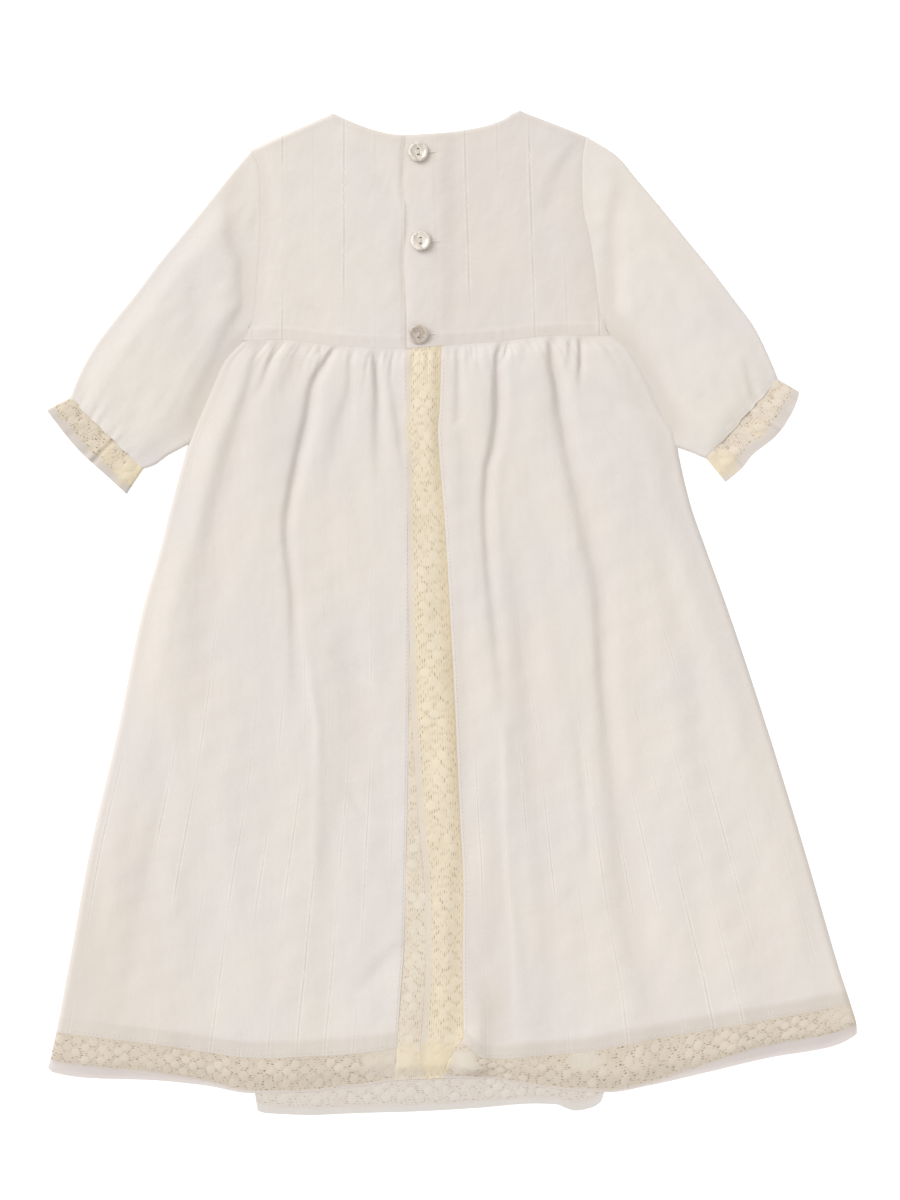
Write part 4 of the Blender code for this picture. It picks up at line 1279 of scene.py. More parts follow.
def lace_group(name: str) -> NodeTree:
    """Makes the lace's net: small slits that ring the round dots and line both edges.

    Args:
        name: The group's name.

    Returns:
        The group.
    """
    nodes, given = new_group(
        name,
        {"Cut": None, "Away": 9.0, "Strength": 0.5, "Length": 0.62, "Border": 18.4, "Ring": 1.0,
         "Pitch": SLIT_PITCH, "Fade": 1.4, "Bend": 1.0},
    )
    u, v = millimetres(nodes, given["Cut"])
    away, strength, border, pitch = (given[key] for key in ("Away", "Strength", "Border", "Pitch"))
    shaken = nodes.parts(nodes.noise(nodes.vector(u, v), 0.3, output=1))
    u_bent = u + (shaken[0] - 0.5) * (given["Bend"] * 4.2)
    v_bent = v + (shaken[1] - 0.5) * (given["Bend"] * 2.4)
    dot = nodes.between(away, DOT_RADIUS + 0.3, DOT_RADIUS - 0.7) * strength
    line = nodes.math("FLOOR", v_bent / SLIT_ROW)
    turn = u_bent / pitch + nodes.chance(line)
    own = nodes.chance(nodes.vector(line, nodes.math("FLOOR", turn)), "3D")
    along = (nodes.math("FRACT", turn) - own * 0.6 - 0.2) * pitch / given["Length"]
    across = (v_bent - (line + 0.5) * SLIT_ROW) / 0.29
    oval = nodes.math("SQRT", along * along + across * across)
    clear = nodes.between(away, DOT_RADIUS - 0.3, DOT_RADIUS + 0.5)
    clear = nodes.math("MAXIMUM", clear, (1.0 - strength) * 0.9)
    ring = nodes.hump(away, DOT_RADIUS + 0.5, 0.7) * given["Ring"] + clear * (1.1 - given["Ring"])
    lines = nodes.hump(v, 1.2, 0.5) + nodes.hump(v - border, -1.1, 0.55)
    where = nodes.math("MAXIMUM", ring, lines * 0.9)
    uneven = nodes.between(nodes.noise(nodes.vector(u, v, 3.0), 0.3, 3.0), 0.34, 0.56, 0.25)
    inner = nodes.between(v, 0.2, 0.8) * nodes.between(v - border, 0.0, -0.6)
    slit = nodes.between(oval, 1.3, 0.7)
    slit = slit * where * uneven * inner * nodes.between(own, 0.0, 0.35, 0.35)
    thread = nodes.noise(nodes.vector(u * 1.2, v * 2.6), 1.0, 3.0)
    return nodes.finished(
        Dot=dot,
        Slit=slit,
        Edge=nodes.between((v_bent - border) / given["Fade"], -1.0, 0.65),
        # Painted shade towards the attached edge, stronger higher up
        Seam=nodes.between(v, 7.0, 1.5) * nodes.between(u, 60.0, 180.0, 1.0, 0.2),
        Height=dot * 0.35 + thread * 0.45 - slit * 0.5,
    )


def pearl_group(name: str) -> NodeTree:
    """Makes the soft clouds of mother-of-pearl.

    Args:
        name: The group's name.

    Returns:
        The group.
    """
    nodes, given = new_group(name, {"Place": None})
    bent = nodes.noise(given["Place"], 240.0)
    x, y, _ = nodes.parts(given["Place"])
    cloud = nodes.noise(nodes.vector(x * 420.0 + y * 260.0, bent * 3.0))
    return nodes.finished(Cloud=nodes.between(cloud, 0.32, 0.66), Blush=nodes.between(bent, 0.4, 0.65),
                          Height=cloud + bent)


GROUPS = {
    "Slub stripe": stripe_group,
    "Plain weave": weave_group,
    "Slow tone": tone_group,
    "Dotted lace": lace_group,
    "Pearl cloud": pearl_group,
}
Colour = tuple[float, float, float]


def start_material(name: str) -> tuple[Material, Nodes, Node]:
    """Returns a new material, its nodes and its shader."""
    made = bpy.data.materials.new(name)
    made.use_nodes = True
    return made, Nodes(made.node_tree), made.node_tree.nodes["Principled BSDF"]


def settle(shader: Node, values: dict[str, object]) -> None:
    """Sets the shader's inputs that are the same all over."""
    for label, value in values.items():
        shader.inputs[label].default_value = value


@dataclass(frozen=True)
class CottonFinish:
    """Soft thin cotton with woven slub stripes."""

    name: str = "striped_cotton"
    warm: Colour = (0.75, 0.698, 0.642)
    cool: Colour = (0.722, 0.676, 0.655)
    thread: Colour = (0.87, 0.835, 0.785)
    gap: Colour = (0.52, 0.46, 0.40)
    # The colour of a second layer seen through the cloth, also used for painted shade
    beneath: Colour = (0.60, 0.535, 0.475)
    stripe: float = 1.0
    even: float = 1.0
    faint: float = 0.35
    thread_share: float = 0.5
    gap_share: float = 0.35

    def build(self) -> Material:
        """Makes the material.

        Returns:
            The material.
        """
        made, nodes, shader = start_material(self.name)
        cut = nodes.cut()
        stripes = nodes.group("Slub stripe", cut, Even=self.even, Faint=self.faint)
        weave = nodes.group("Plain weave", cut)
        tone = nodes.group("Slow tone", nodes.place())
        colour = nodes.mix(tone["Warm"], self.cool, self.warm)
        colour = nodes.mix(nodes.between(weave["Shade"], 0.38, 0.62) * 0.08, colour, self.thread)
        # Darker where a second layer shows through, and where shade is painted in folds, along edges and
        # beside other pieces
        colour = nodes.mix(nodes.kept("doubled") * 0.5, colour, self.beneath)
        colour = nodes.mix(stripes["Thread"] * (self.thread_share * self.stripe), colour, self.thread)
        colour = nodes.mix(stripes["Gap"] * (self.gap_share * self.stripe), colour, self.gap)
        nodes.feed(shader.inputs["Base Color"], colour)
        height = stripes["Height"] * (0.22 * self.stripe) + weave["Height"] * 0.55
        nodes.bump(shader, height + tone["Crumple"] * 1.6, 0.55, 0.35)
        settle(shader, {"Roughness": 0.85, "Sheen Weight": 0.12, "Sheen Roughness": 0.5,
                        "Specular IOR Level": 0.25})
        return made


@dataclass(frozen=True)
class LaceFinish:
    """Machine lace of unbleached cotton."""

    name: str = "dotted_lace"
    dot: Colour = (0.695, 0.62, 0.53)
    net: Colour = (0.625, 0.55, 0.47)
    stain: Colour = (0.665, 0.58, 0.48)
    # The dark colour of the slits is painted shade seen through the holes
    slit: Colour = (0.36, 0.30, 0.235)
    edge: Colour = (0.775, 0.712, 0.695)
    # The colour of the painted shade towards the attached edge
    seam: Colour = (0.58, 0.50, 0.39)
    smooth: Colour = (0.71, 0.655, 0.575)
    folded: Colour = (0.78, 0.68, 0.50)
    slit_length: float = 0.75
    border: float = 18.4
    ring: float = 0.85
    pitch: float = SLIT_PITCH
    fade: float = 1.8
    bend: float = 1.0
    seam_share: float = 0.1
    see_through: float = 0.2
    edge_see_through: float = 0.15

    def build(self) -> Material:
        """Makes the material.

        Returns:
            The material.
        """
        made, nodes, shader = start_material(self.name)
        lace = nodes.group("Dotted lace", nodes.cut(), Away=nodes.kept("dot_away"),
                           Strength=nodes.kept("dot_strength"), Length=self.slit_length,
                           Border=self.border, Ring=self.ring, Pitch=self.pitch, Fade=self.fade,
                           Bend=self.bend)
        tone = nodes.group("Slow tone", nodes.place(), Size=34.0)
        warm, plain = nodes.kept("doubled"), nodes.kept("plain")
        colour = nodes.mix(lace["Dot"], nodes.mix(tone["Warm"], self.net, self.stain), self.dot)
        colour = nodes.mix(lace["Edge"], colour, self.edge)
        # Painted shade towards the attached edge
        colour = nodes.mix(lace["Seam"] * self.seam_share, colour, self.seam)
        colour = nodes.mix(plain * 0.7, colour, self.smooth)
        colour = nodes.mix(warm * 0.8, colour, self.folded)
        slit = lace["Slit"] * (1.0 - plain) * (1.0 - warm * 0.85)
        # The slits are coloured dark: painted shade seen through the holes
        nodes.feed(shader.inputs["Base Color"], nodes.mix(slit * 0.9, colour, self.slit))
        through = nodes.math("MAXIMUM", slit * self.see_through, lace["Edge"] * self.edge_see_through)
        nodes.feed(shader.inputs["Alpha"], 1.0 - through)
        nodes.bump(shader, lace["Height"], 0.5, 0.25)
        settle(shader, {"Roughness": 0.82, "Specular IOR Level": 0.25})
        return made


@dataclass(frozen=True)
class PearlFinish:
    """Polished mother-of-pearl."""

    name: str = "mother_of_pearl"
    light: Colour = (0.80, 0.755, 0.69)
    dark: Colour = (0.56, 0.50, 0.42)
    blush: Colour = (0.68, 0.58, 0.53)
    roughness: float = 0.16

    def build(self) -> Material:
        """Makes the material.

        Returns:
            The material.
        """
        made, nodes, shader = start_material(self.name)
        pearl = nodes.group("Pearl cloud", nodes.place())
        colour = nodes.mix(pearl["Cloud"], self.dark, self.light)
        nodes.feed(shader.inputs["Base Color"], nodes.mix(pearl["Blush"] * 0.45, colour, self.blush))
        nodes.bump(shader, pearl["Height"], 0.25, 0.25)
        settle(shader, {"Roughness": self.roughness, "Coat Weight": 0.6, "Coat Roughness": 0.06,
                        "Specular IOR Level": 0.65})
        return made


@dataclass(frozen=True)
class ThreadFinish:
    """Soft sewing cotton."""

    name: str = "sewing_thread"
    light: Colour = (0.84, 0.79, 0.72)
    dark: Colour = (0.7, 0.64, 0.56)

    def build(self) -> Material:
        """Makes the material.

        Returns:
            The material.
        """
        made, nodes, shader = start_material(self.name)
        twist = nodes.noise(nodes.place(), 2200.0)
        nodes.feed(shader.inputs["Base Color"], nodes.mix(twist, self.dark, self.light))
        nodes.bump(shader, twist, 0.4, 0.1)
        settle(shader, {"Roughness": 0.7})
        return made


FINISHES = (
    CottonFinish(),
    CottonFinish(name="bodice_cotton", even=0.3, faint=1.0, thread_share=0.35, gap_share=0.5),
    CottonFinish(name="sleeve_cotton", warm=(0.765, 0.715, 0.66), cool=(0.735, 0.69, 0.67), stripe=0.2,
                 faint=1.0),
    LaceFinish(),
    LaceFinish(
        name="cuff_lace", dot=(0.71, 0.63, 0.52), net=(0.67, 0.59, 0.475), stain=(0.68, 0.59, 0.46),
        slit=(0.27, 0.215, 0.15), edge=(0.71, 0.65, 0.605), slit_length=0.65, border=18.2, ring=0.35,
        fade=2.2, see_through=0.1,
    ),
    # A lighter copy of the cuff lace for the right cuff, whose frill faces away from the key light: painted
    # light
    LaceFinish(
        name="pale_cuff_lace", dot=(0.765, 0.685, 0.59), net=(0.73, 0.64, 0.545),
        stain=(0.75, 0.65, 0.54), slit=(0.42, 0.33, 0.24), edge=(0.73, 0.675, 0.635),
        slit_length=0.65, border=17.6, ring=0.4, fade=2.8, see_through=0.05,
    ),
    # The right strip has strong painted shade towards its attached edge
    LaceFinish(
        name="doubled_lace", dot=(0.81, 0.72, 0.58), net=(0.78, 0.685, 0.52), stain=(0.79, 0.695, 0.55),
        slit=(0.53, 0.44, 0.32), edge=(0.775, 0.705, 0.62), seam=(0.70, 0.595, 0.425), slit_length=1.4,
        border=19.6, ring=0.45, pitch=4.4, fade=2.2, bend=0.35, seam_share=0.85, see_through=0.1,
        edge_see_through=0.1,
    ),
    LaceFinish(
        name="under_lace", dot=(0.745, 0.68, 0.58), net=(0.715, 0.637, 0.53), stain=(0.73, 0.647, 0.53),
        slit=(0.53, 0.455, 0.36), edge=(0.755, 0.695, 0.615), slit_length=1.1, border=20.9, ring=0.4,
        pitch=3.6, bend=0.5, see_through=0.1, edge_see_through=0.1,
    ),
    LaceFinish(
        name="front_lace", dot=(0.69, 0.635, 0.585), net=(0.665, 0.605, 0.55), stain=(0.68, 0.62, 0.56),
        slit=(0.50, 0.44, 0.38), edge=(0.73, 0.69, 0.66), ring=0.5, see_through=0.1,
    ),
    PearlFinish(),
    PearlFinish(name="shaded_pearl", light=(0.70, 0.62, 0.54), dark=(0.46, 0.39, 0.33),
                blush=(0.56, 0.46, 0.41), roughness=0.3),
    ThreadFinish(),
)
Materials = dict[str, Material]


@dataclass(frozen=True)
class Dressed:
    """What a sheet is called and stands for, what it is made of, its finish, and how it lies.

    The flat cut of what shows is in metres: its width and length, and its area.
    """

    name: str
    node: str
    slot: Slot
    finish: str
    held: Held
    rests_on: str
    flat: tuple[float, float]
    area: float


@dataclass
class Sheet:
    """A piece of cloth or lace that stands for one solid."""

    dressed: Dressed

    def lay(self) -> Cloth:
        """Returns the points of the piece, which each kind of piece lays out in its own way."""
        raise NotImplementedError

    def build(self, materials: Materials) -> None:
        """Makes the piece, finishes it and gives it its place in the dress.

        Args:
            materials: Every finish by its name.
        """
        what = self.dressed
        piece = self.lay().build(what.name, SHEET_WALLS[what.slot])
        piece.data.materials.append(materials[what.finish])
        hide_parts(what.node)
        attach(piece, "root")
        logger.info("%s stands for %s", what.name, what.node)


@dataclass
class BackSkirt(Sheet):
    """One gathered half of the back skirt."""

    side: Side
    cut_width: float
    phase: float
    columns: int
    rows: tuple[int, ...] = (12, 24, 84, 150)

    def lay(self) -> Cloth:
        """Lays out the half.

        Returns:
            Its points.
        """
        right_half = self.side is Side.RIGHT
        if right_half:
            left, right = moved(right_strip_right, SEAM_GAP), skirt_right
        else:
            left, right = skirt_left, moved(left_strip_left, -SEAM_GAP)
        down = stations((0, 0.035, 0.12, 0.42, 1), self.rows)
        x, y = panel_places(crowded(left, right), moved(waist, TUCK), back_hem,
                            np.linspace(0, 1, self.columns), down)
        outside, inner = x - left(y), right(y) - x
        z = BACK_FACE + skirt_form.height(x, y)
        if right_half:
            outside, inner = inner, outside
            z += skirt_form.lap(x, y)
        z -= eased(inner, 1.4, 0.2)
        z = drawn_to(z, waist_level(x, right_half) - 0.06, waist(x) - y, 3.2)
        beside_sleeve = ramp((y - (88 if right_half else 98)) / 12)
        z -= rolled(outside, 3.5, 1.7) * (1 - beside_sleeve)
        z -= eased(outside, 3, 0.8) * beside_sleeve
        z -= 0.8 * ramp((y - waist(x)) / 1.5)
        z -= eased(y - back_hem(x), 1.2, 0.1)
        near_hem = 10.5 - (y - back_hem(x))
        # A darker band along the hem; the rest is painted shade: right of the lace strip, in the far left
        # low corner, along the outer edge and in the large folds
        doubled = [
            1.15 * ramp(near_hem / 5.0) if right_half else 0.9 * ramp(near_hem / 2.5),
            0.7 * bell(x - 17, 12) * bell(y + 180, 38), 1.2 * bell(x - 22, 10) * bell(y + 226, 24),
            0.7 * bell(x + 208, 34) * bell(y + 205, 95), 0.3 * ramp(1 - outside / 5),
            0.42 * skirt_form.folded(x, y),
        ]
        # Painted shade on the left half beside the sleeve
        if not right_half:
            doubled.append(0.5 * ramp(1.2 - outside / 15) * beside_sleeve)
        u = cloth_across(x, y, self.cut_width) - self.phase
        return Cloth(x, y, np.maximum(z, FLOOR_LEVEL), u, -y, np.max(doubled, axis=0))


@dataclass
class BackBodice(Sheet):
    """One half of the back bodice."""

    side: Side
    columns: int
    rows: int = 116

    def lay(self) -> Cloth:
        """Lays out the half.

        Returns:
            Its points.
        """
        right_half = self.side is Side.RIGHT
        if right_half:
            spread, inner, neck, shoulder = (evenly(placket_edge, armhole_right), PLACKET[0].x,
                                             NECK_RIGHT.x, SHOULDER_RIGHT.x)
        else:
            underlap = moved(np.zeros_like, UNDERLAP_EDGE)
            spread, inner, neck, shoulder = (evenly(armhole_left, underlap), UNDERLAP_EDGE,
                                             NECK_LEFT.x, SHOULDER_LEFT.x)
        turn = abs(neck - inner) / abs(shoulder - inner)
        turn = turn if right_half else 1 - turn
        across = stations((0, turn, 1), (round(self.columns * turn), round(self.columns * (1 - turn))))
        x, y = panel_places(spread, back_top, waist, across, np.linspace(0, 1, self.rows))
        outside = armhole_right(y) - x if right_half else x - armhole_left(y)
        on_shoulder = (x < NECK_LEFT.x) | (x > NECK_RIGHT.x)
        below_top, above_waist, past_edge = back_top(x) - y, y - waist(x), x - placket_edge(y)
        z = BACK_FACE + bodice_form.height(x, y)
        z -= np.where(on_shoulder, rolled(below_top, 2.6, 2.15), rolled(below_top, 1.6, 0.7))
        z -= eased(outside, 1.6, 0.3 if right_half else 0.05)
        # Darker: a band above the waist seam where the seam allowance shows through, a band inside the
        # armhole and below the neck edge, and the armhole's very rim as painted shade
        doubled = [
            0.3 * ramp((BodiceForm.ALLOWANCE + 1 - above_waist) / 1.5), 0.25 * ramp(1 - (outside - 3) / 4),
            0.5 * ramp(1 - outside / 1.2), 0.2 * ramp(1 - (below_top - 4) / 3),
        ]
        if right_half:
            z += bodice_form.lap(x)
            z -= eased(past_edge, 4, 0.2)
            u = (x - 27.0 + 0.03 * (y - 212)) * (STRIPE_PITCH / 18.3)
            # Darker where the underlap lies beneath, painted shade on the placket's very edge, and a little
            # darker beyond the placket band
            doubled += [0.12 * ramp(UNDERLAP_EDGE + 0.8 - x), 0.5 * ramp(1 - past_edge / 0.8)]
            doubled = np.max(doubled, axis=0) + 0.3 * ramp((past_edge - 13) / 7)
        else:
            z -= 0.3 * bell(past_edge + 0.8, 1.2)
            u = x + 44.2
            # Painted shadow on the underlap along the placket's edge
            uneven = 0.7 + 0.3 * ripples(y, y * 0, 30, 97)
            doubled = np.max([*doubled, 1.35 * uneven * bell(past_edge + 0.8, 1.4)], axis=0)
        z = drawn_to(z, waist_level(x, right_half), above_waist, 4.0)
        return Cloth(x, y, z, u, -y, doubled)


@dataclass
class FrontSkirt(Sheet):
    """The flat front skirt, finished plainly with a few shallow creases."""

    cut_width: float = 490.0
    columns: int = 150
    rows: int = 110

    def lay(self) -> Cloth:
        """Lays out the panel.

        Returns:
            Its points.
        """
        x, y = panel_places(evenly(skirt_left, skirt_right), waist, front_hem,
                            np.linspace(0, 1, self.columns), np.linspace(0, 1, self.rows))
        folds = sum(fold.depth(-x - 20, y) for fold in skirt_form.folds)
        lifted = 0.28 * folds + 0.15 * skirt_form.puckers(x, y, waist(x) - y)
        u = (x - skirt_left(y)) / (skirt_right(y) - skirt_left(y)) * self.cut_width
        return Cloth(x, y, front_level(lifted), u, -y)


@dataclass
class FrontBodice(Sheet):
    """The flat front bodice, finished plainly with hardly a crease."""

    columns: int = 70
    rows: int = 48

    def lay(self) -> Cloth:
        """Lays out the panel.

        Returns:
            Its points.
        """
        x, y = panel_places(evenly(armhole_left, armhole_right), front_top, waist,
                            np.linspace(0, 1, self.columns), np.linspace(0, 1, self.rows))
        return Cloth(x, y, front_level(0.12 * (1 + ripples(x, y, 30, 41))), x, -y)


def front_level(lifted: Array) -> Array:
    """Returns the height of the front's upper face, which stays below the back."""
    return CLOTH_SHEET + np.clip(lifted, 0, CLOTH_WALL - CLOTH_SHEET - 0.1)


def spread_of(patches: Sequence[Row], x: Array, y: Array) -> Array:
    """Finds how far each place lies in one of the patches.

    Args:
        patches: The patches.
        x: Places across.
        y: Places along.

    Returns:
        Shares of 0 to 1.
    """
    found = np.zeros_like(x)
    uneven = 0.15 * ripples(x, y, 7, 95)
    for middle_x, middle_y, across, along, share in patches:
        off = np.hypot((x - middle_x) / across, (y - middle_y) / along) + uneven
        found = np.maximum(found, share * ramp((1.25 - off) / 0.5))
    return found


@dataclass
class Dots:
    """The lace's round dots: how far each point is from the nearest one, and how that one shows.

    There are four staggered rows, with each dot a little out of place.
    """

    away: Array
    strength: Array
    plain: Array

    JITTER = 0.8

    @classmethod
    def of(cls, u: Array, v: Array, x: Array, y: Array) -> "Dots":
        """Finds the nearest dot of each point of the lace.

        Args:
            u: Places along the lace.
            v: Places across it.
            x: The same places as they lie, from left to right.
            y: And upward.

        Returns:
            The dots.
        """
        found = [cls.nearest(u, v, 0.0, 0), cls.nearest(u, v, DOT_PITCH / 2, 1)]
        first = found[0][0] < found[1][0]
        plain = spread_of(PLAIN_PATCHES, x, y)
        away, strength = (np.where(first, found[0][i], found[1][i]) for i in range(2))
        return cls(away, strength * (1 - 0.85 * plain), plain)

    @classmethod
    def nearest(cls, u: Array, v: Array, shift: float, odd: int) -> tuple[Array, Array]:
        """Finds the nearest dot of one pair of rows.

        Args:
            u: Places along the lace.
            v: Places across it.
            shift: How far the rows are set off along the lace.
            odd: 1 for the second and fourth rows, 0 for the others.

        Returns:
            The distance from that dot and its strength.
        """
        row = np.clip(np.round((v - FIRST_DOT_ROW - odd * DOT_ROW) / (2 * DOT_ROW)), 0, 1)
        number = np.round((u - shift) / DOT_PITCH)
        key = number * 12.9898 + (2 * row + odd) * 78.233
        chance = [(np.sin(key * factor) * 43758.5453) % 1 for factor in (1.0, 1.7, 2.3)]
        along = u - shift - number * DOT_PITCH - cls.JITTER * (chance[0] - 0.5) * 2
        across = v - FIRST_DOT_ROW - (2 * row + odd) * DOT_ROW - cls.JITTER * (chance[1] - 0.5) * 2
        return np.hypot(along, across), 0.2 + 0.8 * chance[2]

    def relief(self) -> Array:
        """Returns how far the dots stand up, of 0 to 1."""
        return self.strength * np.sqrt(np.clip(1 - (self.away / DOT_RADIUS) ** 2, 0, 1))

    def turned(self) -> "Dots":
        """Returns them with their columns in the other order."""
        return Dots(self.away[:, ::-1], self.strength[:, ::-1], self.plain[:, ::-1])


@dataclass
class HemLace(Sheet):
    """The lace along the hem of one back half, or of the front where no half is named."""

    half: Side | None
    columns: int
    rows: int = 32
    dot_height: float = 0.16

    def lay(self) -> Cloth:
        """Lays out the lace.

        Returns:
            Its points.
        """
        hem, edge = back_hem, back_lace_edge
        if self.half is Side.LEFT:
            left, right = skirt_left, moved(left_strip_left, LACE_TUCK)
        elif self.half is Side.RIGHT:
            left, right = moved(right_strip_right, -LACE_TUCK), skirt_right
        else:
            hem, edge = front_hem, front_lace_edge
            left, right = moved(skirt_left, FRONT_LACE_INSET), moved(skirt_right, -FRONT_LACE_INSET)
        x, y = panel_places(evenly(left, right), moved(hem, LACE_TUCK), edge,
                            np.linspace(0, 1, self.columns), np.linspace(0, 1, self.rows))
        u, v = x - 0.12 * y, (hem(x) - y) * LACE_WIDTH / (hem(x) - edge(x))
        if self.half is None:
            waves = ripples(x, y * 0.2, 24, 51) * ramp(v / LACE_WIDTH)
            z = 0.95 + 0.12 * waves * ramp((v - 4) / 10)
            z -= sits_under(hem(x) - y, 0.2)
        else:
            v = v * lace_cover(x)
            waves = ripples(x, y * 0.2, 24, 51) * ramp(v / LACE_WIDTH)
            right_half = self.half is Side.RIGHT
            lap = skirt_form.lap(x, y) if right_half else 0.0
            z = BACK_REST + LACE_WALL + 0.05 + skirt_form.height(x, y) + 0.22 * waves + lap
            z -= 0.6 * ramp((y - hem(x)) / 1.2)
            reach = 12 - 6 * bell(x - 14, 13)
            z += (LACE_REST + 0.3 * lap - z) * LACE_SETTLED * (1 - ramp((y - edge(x)) / reach))
            z -= rolled(skirt_right(y) - x if right_half else x - skirt_left(y), 3.5, 1.5)
            z -= sits_under(x - right_strip_right(y) if right_half else left_strip_left(y) - x, 0.5)
            z = np.maximum(z, FLOOR_LEVEL)
        dots = Dots.of(u, v, x, y)
        z += self.dot_height * dots.relief()
        return Cloth(x, y, z, u, v, spread_of(WARM_PATCHES, x, y), dots=dots)


@dataclass
class OpeningLace(Sheet):
    """The lace strip down one edge of the skirt's opening."""

    side: Side
    columns: int = 32
    rows: int = 560
    dot_height: float = 0.06

    def lay(self) -> Cloth:
        """Lays out the strip.

        Returns:
            Its points.
        """
        right_half = self.side is Side.RIGHT
        if right_half:
            left, right = right_strip_left, moved(right_strip_right, LACE_TUCK)
        else:
            left, right = moved(left_strip_left, -LACE_TUCK), left_strip_right
        x, y = panel_places(evenly(left, right), moved(waist, TUCK), back_lace_edge,
                            np.linspace(0, 1, self.columns), np.linspace(0, 1, self.rows))
        attached = right(y) - LACE_TUCK - x if right_half else x - left(y) - LACE_TUCK
        u, v = -y * 1.02, attached * LACE_WIDTH / (right(y) - left(y) - LACE_TUCK)
        z = BACK_REST + LACE_WALL + skirt_form.height(x, y)
        z += 0.14 * ripples(x * 1.5, y * 0.5, 22, 63 if right_half else 61)
        lap = skirt_form.lap(x, y) - 0.2 if right_half else 0.0
        z += lap - 0.7 * ramp(-attached / 1.2)
        z = drawn_to(z, waist_level(x, right_half) - 0.25, waist(x) - y, 4)
        z -= 0.6 * ramp((y - waist(x)) / 1.5)
        z += (LACE_REST + 0.25 * lap - z) * LACE_SETTLED * (1 - ramp((y - back_lace_edge(x)) / 9))
        dots = Dots.of(u, v, x, y)
        z = np.maximum(z, FLOOR_LEVEL) + self.dot_height * dots.relief()
        return Cloth(x, y, z, u, v, spread_of(WARM_PATCHES, x, y), dots=dots)


Puff = Callable[[Array, Array, Array], Array]


@dataclass(frozen=True)
class FlatTube:
    """A tube pressed flat between an upper and a lower fold, in a number of points for each wall."""

    columns: int
    under_columns: int
    half: float

    def section(self, start: Array, end: Array, bend: Array,
                puff: Puff) -> tuple[Array, Array, Array, Array]:
        """Makes one section of the tube.

        Args:
            start: The upper fold.
            end: The lower fold.
            bend: Sideways moves of the section's points, from fold to fold.
            puff: Gives the rise of the upper wall at x, y and the share across.

        Returns:
            x, y and z of the closed section, and how far round it each point is, with one more at
            its end.
        """
        width = float(np.hypot(*(end - start)))
        near = np.array([0, 0.25, 0.6, 1.1, 1.7]) / width
        even = np.linspace(near[-1], 1 - near[-1], self.columns - 8)
        shares = np.concatenate([near[:-1], even, 1 - near[-2::-1]])
        back = np.linspace(1, 0, self.under_columns + 2)[1:-1]

        def wall(t: Array, upper: bool) -> Array:
            """Makes one wall.

            Args:
                t: Shares of the way from fold to fold.
                upper: Whether it is the upper wall.

            Returns:
                Its points.
            """
            reach = np.minimum(t, 1 - t) * width
            round_off = np.sqrt(1 - (1 - np.clip(reach / SLEEVE_FOLD_RADIUS, 0, 1)) ** 2)
            xy = start + t[:, None] * (end - start)
            xy[:, 0] += np.interp(t, np.linspace(0, 1, len(bend)), bend)
            if upper:
                z = self.half + self.half * round_off + puff(xy[:, 0], xy[:, 1], t) * round_off
            else:
                z = self.half - self.half * round_off
            return np.column_stack([xy, z])

        ring = np.concatenate([wall(shares, True), wall(back, False)])
        around = np.concatenate([shares, 2 - back, [2.0]]) * width
        return ring[:, 0], ring[:, 1], ring[:, 2], around


